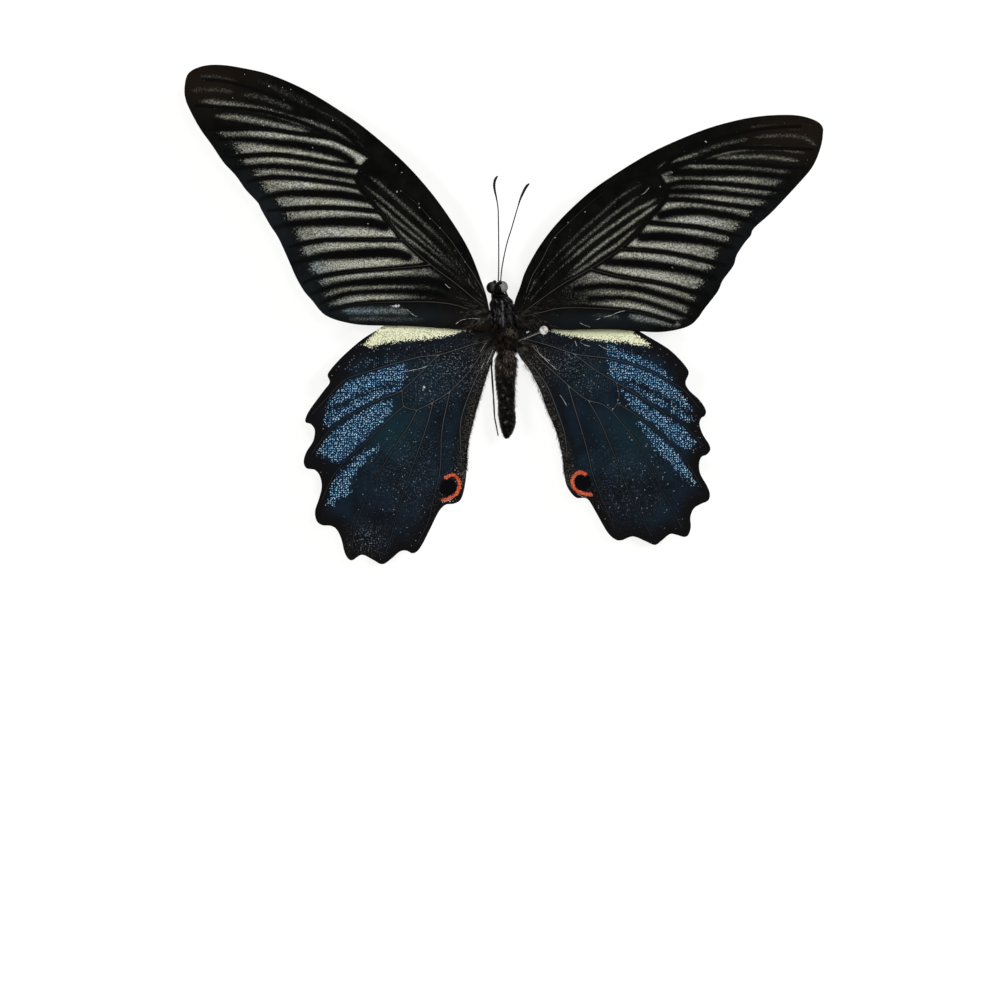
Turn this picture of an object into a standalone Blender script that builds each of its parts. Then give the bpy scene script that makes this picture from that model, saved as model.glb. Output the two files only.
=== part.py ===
"""Spread swallowtail butterfly on an insect pin.

The belly rests on z = 0, the head points to +Y and the back faces +Z.
All lengths are metres. The outlines are drawn on a square grid that is
638.1 squares across the wingspan: the first number grows toward the right
wing tip and the second one toward the tail.
"""
import math

import bmesh
import bpy
from mathutils import Matrix, Vector, geometry

# Driving dimensions
WINGSPAN = 0.110
WING_THICKNESS = 0.0003
FOREWING_HEIGHT = 0.0050      # middle of the sheet where it meets the thorax
HINDWING_HEIGHT = 0.0041
THORAX_AXIS_HEIGHT = 0.00275
THORAX_DEPTH_TO_WIDTH = 1.27
ABDOMEN_AXIS_HEIGHT = 0.00205
ABDOMEN_DEPTH_TO_WIDTH = 1.05
HEAD_HEIGHT = 0.0033
PIN_DIAMETER = 0.0004
PIN_HEAD_DIAMETER = 0.00148
PIN_HEAD_HEIGHT = 0.0156
CLEARANCE = 0.0003            # between pieces that touch on the real specimen
PIN_HOLE_CLEARANCE = 0.00024

# Wing relief
TIP_RISE = 0.0011             # how far the wing tips stand above the roots
ARCH = 0.0004                 # extra height half way along a wing
VEIN_RISE = 0.00010           # veins above the sheet between them
VEIN_REACH = 0.0016           # distance over which a pleat fades out
TAIL_DROOP = 0.0007           # how far the hindwings sink toward the tail
TAIL_REACH = WINGSPAN / math.sqrt(8)
MESH_STEP = 0.0042            # spacing of the free points inside a wing
EDGE_GAP = 0.35 * MESH_STEP   # how far the free points keep from edges and veins
ROW_STEP = MESH_STEP * math.sqrt(3) / 2
OUTLINE_STEPS = 2             # spans between two points of an outline
FILL_TOLERANCE = 1e-6
WELD_DISTANCE = 1e-7

# Drawing grid
GRID = WINGSPAN / 638.1
GRID_ORIGIN = (503.85, 314.9)

LEFT_FOREWING = [
    (488, 303), (481, 280), (469, 250), (451, 220), (429, 190), (401.5, 160),
    (367, 130), (338.5, 110), (305, 90), (270, 75), (240, 68), (220, 65.4),
    (205, 66.2), (193, 70.5), (187, 77), (184.8, 90), (186, 100), (190, 110),
    (200, 128.5), (212.5, 146), (224, 163), (236, 176), (246, 190), (258, 203),
    (261, 209), (270, 225), (279, 239), (289, 261), (296, 277), (304, 291),
    (312.5, 301), (320, 310.5), (327, 316.3), (340, 321.3), (360, 325),
    (385, 325.9), (410, 326.2), (440, 328.2), (470, 330), (490, 329),
]
LEFT_FOREWING_VEINS = [
    [(484, 292), (474, 275), (462, 257), (451, 241), (440, 228), (430, 218), (419, 206),
     (406, 195), (392, 182), (380, 170), (371, 158)],
    [(484, 306), (472, 297), (455, 283), (431, 265), (403, 240), (390, 224), (375, 206), (360, 188)],
    [(360, 188), (358, 180), (363, 168), (371, 158)],
    [(371, 158), (345, 134), (310, 112), (270, 95), (230, 83), (204, 80)],
    [(371, 158), (350, 146), (333, 138), (310, 126), (280, 116), (250, 110), (196, 106)],
    [(333, 138), (300, 134), (260, 129), (210, 130)],
    [(363, 168), (335, 164), (300, 158), (270, 155), (230, 158)],
    [(360, 188), (340, 184), (300, 179), (270, 178), (248, 182)],
    [(380, 212), (350, 209), (320, 208), (290, 209.5), (268, 211)],
    [(403, 240), (380, 240), (340, 240), (320, 241), (290, 247)],
    [(431, 265), (400, 268), (350, 272), (320, 277), (304, 283)],
    [(482, 315), (465, 308), (450, 304), (430, 302), (400, 302), (360, 304), (330, 311)],
]
RIGHT_FOREWING = [
    (514, 306), (520, 287), (526, 270), (540, 245.4), (560, 220), (590, 192),
    (620, 171.3), (650, 153.4), (680, 139.5), (710, 128), (740, 120), (765, 116.2),
    (790, 115.4), (805, 117.4), (817, 122), (822.2, 127.6), (822.6, 134), (821, 145),
    (816.5, 158.5), (810.9, 169.1), (802, 179.8), (784, 199.4), (770, 214),
    (753.7, 228.6), (750.4, 235.9), (744.5, 243), (736.5, 255.4), (733.1, 266.1),
    (722.5, 280.7), (717.4, 291.9), (704, 309.3), (697.8, 318.3), (689.9, 325.5),
    (677.6, 329.8), (660, 332.3), (640.6, 331.7), (610, 329.5), (580, 329.8),
    (560, 330), (540, 328), (518, 326),
]
RIGHT_FOREWING_VEINS = [
    [(526, 293), (532.3, 276), (543, 258), (553, 239), (569, 223), (585.8, 207), (609, 189),
     (626, 181.4), (643, 176.4), (656, 174)],
    [(524, 312), (540, 300), (563, 284), (590, 269), (620, 248.8), (639.6, 229.7), (656.4, 210),
     (665.4, 200)],
    [(665.4, 200), (665, 190), (661.5, 181.4), (656, 174)],
    [(656, 174), (675, 158), (700, 146), (730, 136), (765, 129), (800, 127)],
    [(656, 174), (670, 168.3), (690, 162.5), (704, 157.4), (720, 152), (750, 148), (812, 150)],
    [(690, 162.5), (727, 163), (756, 165), (803, 169)],
    [(665, 188), (680, 183), (720, 184), (760, 188), (784, 191)],
    [(665.4, 200), (690, 200.5), (730, 205.5), (764, 210)],
    [(646, 222.5), (670, 225), (700, 228), (742, 237)],
    [(620, 248.8), (660, 252), (692, 258), (726, 266)],
    [(590, 269), (620, 276.7), (660, 283.5), (692, 292), (707, 295)],
    [(524, 316), (540, 312.7), (563, 308), (600, 308.7), (640, 312.8), (674, 323)],
]
LEFT_HINDWING = [
    (373.9, 331.8), (360, 341), (345, 354), (335, 364.2), (328.6, 372.4), (327.7, 376),
    (329.6, 382.6), (323.6, 390.8), (310.3, 408.8), (305.6, 418), (305.8, 422.5),
    (310.8, 424.2), (314.7, 430.3), (312.9, 441.3), (306.2, 452), (303.6, 461.8),
    (306.5, 468.3), (314.9, 470), (320, 476.7), (321.6, 487), (319, 498.2), (314.9, 511),
    (316.5, 520.8), (322, 525.2), (330, 525.8), (336, 529), (341, 538.7), (345, 554),
    (351.3, 560.5), (361.6, 554.9), (372, 559.5), (382.1, 564.4), (391, 559),
    (399.5, 551.8), (406, 550.7), (413, 553.4), (420, 548), (429.3, 530.5), (438.5, 512),
    (445.7, 504.7), (454, 503.6), (461.4, 498.2), (465.9, 478.6), (468.6, 443),
    (477.5, 407), (488.2, 371.4), (491.8, 359), (492.3, 345), (490.5, 334), (478, 322),
    (455, 313), (425, 311), (400, 317),
]
LEFT_HINDWING_VEINS = [
    [(486, 341), (470, 345), (440, 354.4), (420, 356.8), (390, 364.7), (360, 374), (344, 380.6),
     (325, 400), (312, 414)],
    [(440, 354.4), (430, 363), (402, 390), (380, 399), (350, 415), (330, 429.5), (312, 453)],
    [(402, 390), (404, 406), (417, 410)],
    [(404, 406), (390, 418), (375, 433), (355, 452), (335, 473), (322, 500)],
    [(417, 410), (408, 427), (395, 446), (376, 478), (366, 498), (355, 528), (352, 550)],
    [(486, 346), (470, 370), (450, 391), (433, 402), (417, 410)],
    [(433, 402), (426, 428), (413, 465), (401, 500), (390, 540), (384, 555)],
    [(450, 391), (442, 430), (440, 470), (433, 500), (428, 522), (417, 544)],
    [(487, 355), (470, 392), (461, 420), (460.5, 445), (462, 470)],
]
RIGHT_HINDWING = [
    (650, 337.5), (668, 348.5), (680, 359.5), (687.5, 369), (688.6, 374), (685.6, 382.5),
    (689, 390), (700, 400.5), (705.8, 410), (705, 415.5), (701, 418.5), (699.7, 425),
    (703, 434.5), (709, 444), (710.3, 450), (706.5, 454.8), (701.5, 457), (699.2, 464),
    (700.5, 474), (707, 485.5), (710, 494), (708.2, 500.6), (701, 504), (694, 508.5),
    (690.6, 517), (691, 527), (688.5, 535), (684, 537), (677, 535), (670, 534.2),
    (662, 540.5), (655, 545), (645, 541), (633, 536.5), (622, 540.3), (615, 539.3),
    (607, 531.5), (597, 514), (589, 500.5), (584, 498), (576, 497.5), (568.5, 489),
    (564.8, 478), (561.5, 452), (555.5, 429.5), (547, 410), (540, 390.5), (530, 370.5),
    (521.5, 358.5), (520, 350), (520.5, 338), (530, 325), (555, 314), (585, 311),
    (613, 317), (632, 327),
]
RIGHT_HINDWING_VEINS = [
    [(526, 339), (548, 345), (572, 353), (590, 356), (610, 358.5), (630, 363.5), (650, 371),
     (668, 380.5), (685, 391), (699, 408)],
    [(572, 353), (582, 360), (597, 371), (616, 382), (636, 394), (657, 408), (680, 421),
     (703, 446)],
    [(616, 382), (619, 394), (617.5, 403), (612, 411)],
    [(617.5, 403), (636, 415), (653, 428), (668, 441), (684, 457), (702, 488)],
    [(612, 411), (625, 427), (637, 442), (646, 458), (660, 486), (682, 528)],
    [(525, 345), (535, 355), (555, 373), (575, 391), (588, 400), (602, 404), (612, 411)],
    [(588, 400), (600, 421), (611, 447), (622, 474), (632, 500), (652, 536)],
    [(568, 385), (573, 402), (581, 428), (588, 453), (594, 478), (615, 530)],
    [(524, 356), (545, 382), (557, 410), (565, 435), (567, 460)],
]

# Body, as grid x, grid y and half width along its length
THORAX_STATIONS = [
    (500.3, 296.2, 4), (500.5, 297.4, 8.2), (501, 301, 10.6), (502, 306, 11.8),
    (503.3, 312, 12.6), (504.5, 320, 13.2), (505.5, 328, 13.4), (506.5, 336, 12.8),
    (507.2, 343, 11.4), (507.5, 348, 9.3), (507.5, 350.4, 6),
]
ABDOMEN_STATIONS = [
    (507, 352.5, 6.5), (506.2, 358, 10.4), (505.4, 369, 10.7), (505.3, 379, 10),
    (505.8, 391, 9.2), (506.3, 402, 8.4), (506.8, 413, 8.7), (507.5, 422, 8.1),
    (507.2, 431, 5.6), (506, 438.5, 1.2),
]
ABDOMEN_SEGMENTS = 9
SEGMENT_PINCH = 0.05          # how much narrower a segment's front edge is
# One segment, as share of its length and share of its full width
SEGMENT_PROFILE = ((0, 1 - SEGMENT_PINCH), (0.3, 1), (0.85, 1))
PROFILE_STEPS = 12
TRUNK_ROUNDNESS = 6           # extra points in each quarter of a round outline
BELLY_BLOCK = WINGSPAN / 2    # block that cuts the thorax off at the ground

LEFT_ANTENNA = [
    (498.2, 279), (498.7, 268), (498.7, 245), (498.4, 220), (498, 208), (496.6, 199),
    (494.9, 191), (494.2, 185.5), (495.1, 180), (497.6, 176.2),
]
RIGHT_ANTENNA = [
    (500.9, 278.6), (502.2, 266), (506.5, 245), (511.5, 228.5), (516.5, 211.5), (520, 200),
    (523.2, 192.5), (526.2, 187), (529.3, 183.7),
]
ANTENNA_BASE_HEIGHT = 0.0042
ANTENNA_TIP_HEIGHT = 0.0056
ANTENNA_RADIUS = 0.00010
CLUB_RADIUS = 0.00021
CLUB_START = 0.5              # share of the length where the club begins to swell
CLUB_FULL = 0.8
ANTENNA_ROUNDNESS = 1
ANTENNA_STEPS = 2

LEG_ROUNDNESS = 2
MILLIMETRE = 0.001
# Legs, as x, y, z and radius in millimetres, from the body to the claws
LEGS = {
    "left_fore_leg": [
        (-1.0, 3.5, 1.3, .2), (-1.9, 4.8, 1.1, .25), (-2.1, 5.1, .9, .2),
        (-2.0, 2.6, .5, .16), (-2.1, 1.2, .3, .13), (-2.2, -.4, .12, .1),
    ],
    "right_fore_leg": [
        (-.2, 3.5, 1.3, .2), (-.3, 4.8, 1.1, .25), (-.1, 5.1, .9, .2),
        (1.0, 2.6, .5, .16), (1.25, 1.2, .3, .13), (1.5, -.4, .12, .1),
    ],
    "left_mid_leg": [
        (-2.2, -1.5, 1.0, .24), (-4.0, -.6, 1.9, .27), (-5.3, -.2, 2.3, .2),
        (-7.3, -3.4, 1.1, .17), (-8.4, -5.6, .4, .13), (-9.0, -8.4, .12, .1),
    ],
    "right_mid_leg": [
        (2.6, -1.5, 1.0, .24), (4.2, -.8, 1.9, .27), (5.6, -.3, 2.3, .2),
        (7.4, -3.6, 1.1, .17), (8.4, -5.9, .4, .13), (8.8, -8.6, .12, .1),
    ],
    "left_hind_leg": [
        (-1.2, -5.0, .8, .2), (-2.1, -7.3, 1.0, .24), (-2.15, -8.8, 1.2, .18),
        (-1.8, -14.0, .7, .15), (-1.6, -17.6, .35, .13), (-1.0, -20.7, .12, .1),
    ],
    "right_hind_leg": [
        (2.1, -5.1, .9, .22), (4.2, -5.6, 1.9, .25), (6.0, -6.5, 2.2, .19),
        (7.0, -11.5, .9, .16), (7.6, -13.8, .4, .13), (8.3, -16.8, .12, .1),
    ],
}

# Head, as grid x, grid y and the half sizes in grid squares
HEAD_FORMS = [
    (497.4, 288.6, 7.2, 5.9, 8.0),      # capsule
    (492.3, 287.2, 6.1, 6.2, 6.6),      # left eye
    (502.2, 286.6, 5.9, 6.2, 6.6),      # right eye
    (494.6, 281.6, 2.4, 2.4, 2.6),      # left palp
    (500.2, 281.8, 2.4, 2.2, 2.6),      # right palp
]
HEAD_SEGMENTS = 18
HEAD_ROWS = 10

# Pin
PIN_HEAD_PLACE = (543.2, 332.6)
PIN_ENTRY_PLACE = (514.8, 342.3)
PIN_ENTRY_HEIGHT = 0.0049
PIN_FOOT_HEIGHT = 0.0012
SHAFT_SEGMENTS = 12
BORE_SEGMENTS = 16
KNOB_SEGMENTS = 20
KNOB_ROWS = 12

# Colours as red, green and blue bytes, with roughness and metallic value
MATERIALS = {
    "forewing": ((26, 25, 24), 0.75, 0.0),
    "hindwing": ((18, 31, 42), 0.7, 0.0),
    "body": ((24, 22, 20), 0.45, 0.0),
    "head": ((30, 27, 25), 0.35, 0.0),
    "leg": ((30, 25, 20), 0.5, 0.0),
    "antenna": ((26, 24, 22), 0.5, 0.0),
    "steel": ((170, 170, 165), 0.3, 1.0),
    "enamel": ((240, 240, 236), 0.2, 0.0),
}


def clear_scene():
    """Remove what the file starts with."""
    for thing in list(bpy.data.objects):
        bpy.data.objects.remove(thing, do_unlink=True)


def make_collection(name):
    """Return a new collection linked to the scene."""
    collection = bpy.data.collections.new(name)
    bpy.context.scene.collection.children.link(collection)
    return collection


def to_linear(byte):
    """Turn one sRGB byte into a linear value."""
    value = byte / 255
    if value <= 0.04045:
        return value / 12.92
    return ((value + 0.055) / 1.055) ** 2.4


def make_material(name):
    """Return the Principled material of one kind of surface."""
    color, roughness, metallic = MATERIALS[name]
    material = bpy.data.materials.new(name)
    material.use_nodes = True
    shader = material.node_tree.nodes["Principled BSDF"]
    shader.inputs["Base Color"].default_value = [to_linear(byte) for byte in color] + [1]
    shader.inputs["Roughness"].default_value = roughness
    shader.inputs["Metallic"].default_value = metallic
    return material


def add_object(name, data, collection, material=None):
    """Link data as an object, with its own material."""
    thing = bpy.data.objects.new(name, data)
    collection.objects.link(thing)
    if material:
        data.materials.append(make_material(material))
    return thing


def place(grid_x, grid_y):
    """Turn a place on the drawing grid into metres."""
    return (grid_x - GRID_ORIGIN[0]) * GRID, (GRID_ORIGIN[1] - grid_y) * GRID


def smooth_path(points, steps, closed=False):
    """Return a Catmull-Rom curve through the points, with steps spans for each gap."""
    points = [Vector(point) for point in points]
    count = len(points)
    gaps = count if closed else count - 1
    path = []
    for index in range(gaps):
        before = points[index - 1] if closed or index else points[0]
        start = points[index]
        end = points[(index + 1) % count]
        after = points[(index + 2) % count] if closed or index + 2 < count else points[-1]
        for step in range(steps):
            t = step / steps
            path.append(0.5 * (2 * start + (end - before) * t
                               + (2 * before - 5 * start + 4 * end - after) * t ** 2
                               + (3 * start - before - 3 * end + after) * t ** 3))
    if not closed:
        path.append(points[-1])
    return path


def distance_to_path(point, path):
    """Return the distance from a 2D point to a line of points."""
    nearest = math.inf
    for start, end in zip(path, path[1:]):
        span = end - start
        share = (point - start).dot(span) / span.length_squared
        foot = start + span * min(1, max(0, share))
        nearest = min(nearest, (point - foot).length)
    return nearest


def free_points(outline, lines):
    """Return a hexagonal set of points inside the outline, clear of it and of the lines."""
    closed = outline + outline[:1]
    left = min(point.x for point in outline)
    low = min(point.y for point in outline)
    columns = int((max(point.x for point in outline) - left) / MESH_STEP) + 2
    rows = int((max(point.y for point in outline) - low) / ROW_STEP) + 2
    found = []
    for row in range(rows):
        for column in range(columns):
            point = Vector((left + (column + 0.5 * (row % 2)) * MESH_STEP,
                            low + row * ROW_STEP))
            inside = sum(
                (a.y > point.y) != (b.y > point.y)
                and point.x < (b.x - a.x) * (point.y - a.y) / (b.y - a.y) + a.x
                for a, b in zip(closed, closed[1:])) % 2
            if not inside:
                continue
            if min(distance_to_path(point, line) for line in lines + [closed]) > EDGE_GAP:
                found.append(point)
    return found


def wing_height(point, root_height, droop, veins):
    """Return the height of the middle of the sheet at a 2D point."""
    reach = abs(point.x) / (WINGSPAN / 2)
    rise = TIP_RISE * reach + ARCH * math.sin(math.pi * min(1, reach))
    sink = droop * (max(0, -point.y) / TAIL_REACH) ** 2
    nearest = min(distance_to_path(point, vein) for vein in veins)
    pleat = VEIN_RISE * (1 - 2 * min(1, nearest / VEIN_REACH))
    return root_height + rise - sink + pleat


def add_wing(name, outline, vein_lines, root_height, droop, material, collection):
    """Make one wing: a sheet filled inside its outline and pleated along its veins."""
    border = smooth_path([place(*point) for point in outline], OUTLINE_STEPS, closed=True)
    veins = [smooth_path([place(*point) for point in line], 1) for line in vein_lines]
    points = list(border)
    edges = []
    for vein in veins:
        first = len(points)
        points += vein
        edges += [(first + index, first + index + 1) for index in range(len(vein) - 1)]
    points += free_points(border, veins)
    fill = geometry.delaunay_2d_cdt(points, edges, [list(range(len(border)))], 1, FILL_TOLERANCE)
    mesh = bpy.data.meshes.new(name)
    mesh.from_pydata(
        [(spot.x, spot.y, wing_height(spot, root_height, droop, veins)) for spot in fill[0]],
        [], fill[2])
    wing = add_object(name, mesh, collection, material)
    sheet = wing.modifiers.new("sheet", "SOLIDIFY")
    sheet.thickness = WING_THICKNESS
    sheet.offset = 0
    mesh.shade_smooth()
    return wing


def add_limb(name, points, radii, collection, material, roundness):
    """Make a round limb: a curve through the points with its own radius at each."""
    curve = bpy.data.curves.new(name, "CURVE")
    curve.dimensions = "3D"
    curve.bevel_depth = 1
    curve.bevel_resolution = roundness
    curve.use_fill_caps = True
    spline = curve.splines.new("POLY")
    spline.points.add(len(points) - 1)
    for spot, point, radius in zip(spline.points, points, radii):
        spot.co = (*point, 1)
        spot.radius = radius
    return add_object(name, curve, collection, material)


def as_mesh(thing, collection):
    """Replace a curve object by its welded mesh."""
    graph = bpy.context.evaluated_depsgraph_get()
    mesh = bpy.data.meshes.new_from_object(thing.evaluated_get(graph))
    work = bmesh.new()
    work.from_mesh(mesh)
    bmesh.ops.remove_doubles(work, verts=work.verts, dist=WELD_DISTANCE)
    work.to_mesh(mesh)
    work.free()
    name = thing.name
    bpy.data.objects.remove(thing)
    return add_object(name, mesh, collection)


def add_trunk(name, stations, axis_height, depth_ratio, collection):
    """Make a round trunk through stations of grid x, grid y and half width."""
    centers = [(*place(x, y), 0) for x, y, half in stations]
    radii = [half * GRID for x, y, half in stations]
    limb = add_limb(name, centers, radii, collection, None, TRUNK_ROUNDNESS)
    trunk = as_mesh(limb, collection)
    trunk.data.materials.append(make_material("body"))
    trunk.data.transform(Matrix.Diagonal((1, 1, depth_ratio, 1)))
    trunk.data.transform(Matrix.Translation((0, 0, axis_height)))
    trunk.data.shade_smooth()
    return trunk


def combine(thing, other, name, operation):
    """Take another solid out of the thing, or grow it on, by a boolean modifier."""
    modifier = thing.modifiers.new(name, "BOOLEAN")
    modifier.operation = operation
    modifier.object = other
    other.hide_render = True
    other.display_type = "WIRE"


def pin_axis():
    """Return the place of the pin head and the unit vector down the pin."""
    head = Vector((*place(*PIN_HEAD_PLACE), PIN_HEAD_HEIGHT))
    entry = Vector((*place(*PIN_ENTRY_PLACE), PIN_ENTRY_HEIGHT))
    return head, (entry - head).normalized()


def add_rod(name, top, foot, radius, collection, segments, material=None):
    """Make a round rod from its top to its foot."""
    work = bmesh.new()
    axis = top - foot
    turn = axis.to_track_quat("Z", "Y").to_matrix().to_4x4()
    bmesh.ops.create_cone(work, cap_ends=True, segments=segments, radius1=radius,
                          radius2=radius, depth=axis.length,
                          matrix=Matrix.Translation((top + foot) / 2) @ turn)
    mesh = bpy.data.meshes.new(name)
    work.to_mesh(mesh)
    work.free()
    return add_object(name, mesh, collection, material)


def add_pin(parts):
    """Make the steel shaft and its round enamelled head."""
    head, down = pin_axis()
    radius = PIN_DIAMETER / 2
    foot = head + down * ((PIN_HEAD_HEIGHT - PIN_FOOT_HEIGHT) / -down.z)
    top = head + down * (PIN_HEAD_DIAMETER / 2 + CLEARANCE)
    add_rod("pin_shaft", top, foot, radius, parts, SHAFT_SEGMENTS, "steel")
    work = bmesh.new()
    bmesh.ops.create_uvsphere(work, u_segments=KNOB_SEGMENTS, v_segments=KNOB_ROWS,
                              radius=PIN_HEAD_DIAMETER / 2, matrix=Matrix.Translation(head))
    mesh = bpy.data.meshes.new("pin_head")
    work.to_mesh(mesh)
    work.free()
    mesh.shade_smooth()
    add_object("pin_head", mesh, parts, "enamel")


def add_thorax(parts, cutters):
    """Make the thorax, flat under the belly and bored for the pin."""
    thorax = add_trunk("thorax", THORAX_STATIONS, THORAX_AXIS_HEIGHT,
                       THORAX_DEPTH_TO_WIDTH, parts)
    work = bmesh.new()
    bmesh.ops.create_cube(work, size=BELLY_BLOCK,
                          matrix=Matrix.Translation((0, 0, -BELLY_BLOCK / 2)))
    mesh = bpy.data.meshes.new("belly_cutter")
    work.to_mesh(mesh)
    work.free()
    combine(thorax, add_object("belly_cutter", mesh, cutters), "flat belly", "DIFFERENCE")
    head, down = pin_axis()
    foot = head + down * ((PIN_HEAD_HEIGHT - PIN_FOOT_HEIGHT) / -down.z + CLEARANCE)
    bore = add_rod("pin_cutter", head, foot, PIN_DIAMETER / 2 + PIN_HOLE_CLEARANCE, cutters,
                   BORE_SEGMENTS)
    combine(thorax, bore, "pin hole", "DIFFERENCE")


def add_abdomen(parts):
    """Make the abdomen as one tapering body of pinched segments."""
    profile = smooth_path(ABDOMEN_STATIONS, PROFILE_STEPS)
    front = profile[0].y
    length = profile[-1].y - front
    stations = []
    for index in range(ABDOMEN_SEGMENTS):
        for share, factor in SEGMENT_PROFILE:
            wanted = front + length * (index + share) / ABDOMEN_SEGMENTS
            spot = min(profile, key=lambda station: abs(station.y - wanted))
            stations.append((spot.x, spot.y, spot.z * factor))
    stations.append(tuple(profile[-1]))
    add_trunk("abdomen", stations, ABDOMEN_AXIS_HEIGHT, ABDOMEN_DEPTH_TO_WIDTH, parts)


def add_head(parts, cutters):
    """Make the head: one body of the capsule, both eyes and both palps."""
    head = None
    for index, (x, y, half_x, half_y, half_z) in enumerate(HEAD_FORMS):
        work = bmesh.new()
        size = Matrix.Diagonal((half_x * GRID, half_y * GRID, half_z * GRID, 1))
        bmesh.ops.create_uvsphere(
            work, u_segments=HEAD_SEGMENTS, v_segments=HEAD_ROWS, radius=1,
            matrix=Matrix.Translation((*place(x, y), HEAD_HEIGHT)) @ size)
        mesh = bpy.data.meshes.new("head")
        work.to_mesh(mesh)
        work.free()
        if index == 0:
            mesh.shade_smooth()
            head = add_object("head", mesh, parts, "head")
            continue
        form = add_object(f"head_form_{index}", mesh, cutters)
        combine(head, form, f"form {index}", "UNION")


def add_antenna(name, points, parts):
    """Make one antenna, thin along its length and clubbed at its tip."""
    path = smooth_path([place(*point) for point in points], ANTENNA_STEPS)
    length = len(path) - 1
    spots = []
    radii = []
    for index, point in enumerate(path):
        share = index / length
        height = ANTENNA_BASE_HEIGHT + (ANTENNA_TIP_HEIGHT - ANTENNA_BASE_HEIGHT) * share
        club = min(1, max(0, (share - CLUB_START) / (CLUB_FULL - CLUB_START)))
        spots.append((point.x, point.y, height))
        radii.append(ANTENNA_RADIUS + (CLUB_RADIUS - ANTENNA_RADIUS) * club)
    radii[-1] = ANTENNA_RADIUS
    add_limb(name, spots, radii, parts, "antenna", ANTENNA_ROUNDNESS)


def add_leg(name, points, parts):
    """Make one folded leg."""
    spots = [(x * MILLIMETRE, y * MILLIMETRE, z * MILLIMETRE) for x, y, z, radius in points]
    radii = [radius * MILLIMETRE for x, y, z, radius in points]
    add_limb(name, spots, radii, parts, "leg", LEG_ROUNDNESS)


def main():
    clear_scene()
    parts = make_collection("pinned butterfly")
    cutters = make_collection("cutters")
    add_wing("left_forewing", LEFT_FOREWING, LEFT_FOREWING_VEINS, FOREWING_HEIGHT, 0,
             "forewing", parts)
    add_wing("right_forewing", RIGHT_FOREWING, RIGHT_FOREWING_VEINS, FOREWING_HEIGHT, 0,
             "forewing", parts)
    add_wing("left_hindwing", LEFT_HINDWING, LEFT_HINDWING_VEINS, HINDWING_HEIGHT, TAIL_DROOP,
             "hindwing", parts)
    add_wing("right_hindwing", RIGHT_HINDWING, RIGHT_HINDWING_VEINS, HINDWING_HEIGHT,
             TAIL_DROOP, "hindwing", parts)
    add_thorax(parts, cutters)
    add_abdomen(parts)
    add_head(parts, cutters)
    add_antenna("left_antenna", LEFT_ANTENNA, parts)
    add_antenna("right_antenna", RIGHT_ANTENNA, parts)
    for name, points in LEGS.items():
        add_leg(name, points, parts)
    add_pin(parts)


main()
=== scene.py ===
"""Looks of the spread swallowtail butterfly on its insect pin.

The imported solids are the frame: the belly rests on z = 0, the head points to
+Y and the back faces +Z, all in metres. The wing outlines and the markings are
drawn on a square grid that is 638.1 squares across the wingspan: the first
number grows toward the right wing tip and the second one toward the tail.
"""
import math

import bpy
import numpy as np
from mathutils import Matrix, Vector, geometry, noise


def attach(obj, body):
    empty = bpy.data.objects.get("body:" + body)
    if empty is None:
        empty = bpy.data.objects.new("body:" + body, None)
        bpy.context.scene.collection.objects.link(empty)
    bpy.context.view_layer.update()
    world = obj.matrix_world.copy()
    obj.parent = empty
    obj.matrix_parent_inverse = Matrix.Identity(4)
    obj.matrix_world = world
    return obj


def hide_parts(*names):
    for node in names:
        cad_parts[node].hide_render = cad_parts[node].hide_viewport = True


bl_info = {
    "name": "Pinned Butterfly Looks",
    "version": (1, 0, 0),
    "blender": (4, 5, 0),
    "location": "3D View > Sidebar > Butterfly",
    "description": "Dresses the solids of a pinned butterfly with scales, hair and chitin",
    "category": "Object",
}

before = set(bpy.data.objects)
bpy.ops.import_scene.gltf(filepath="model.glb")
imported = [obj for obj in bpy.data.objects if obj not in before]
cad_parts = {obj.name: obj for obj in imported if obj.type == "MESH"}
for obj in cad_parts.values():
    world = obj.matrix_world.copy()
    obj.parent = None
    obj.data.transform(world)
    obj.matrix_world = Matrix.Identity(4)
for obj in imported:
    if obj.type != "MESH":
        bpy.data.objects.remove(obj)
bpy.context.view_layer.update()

BODY = "root"
MM = 0.001

# Drawing grid and the heights of the wings, as in the solids
WINGSPAN = 0.110
GRID = WINGSPAN / 638.1
GRID_ORIGIN = (503.85, 314.9)
FOREWING_HEIGHT = 0.0050
HINDWING_HEIGHT = 0.0041
TIP_RISE = 0.0011
ARCH = 0.0004
TAIL_DROOP = 0.0007

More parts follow.
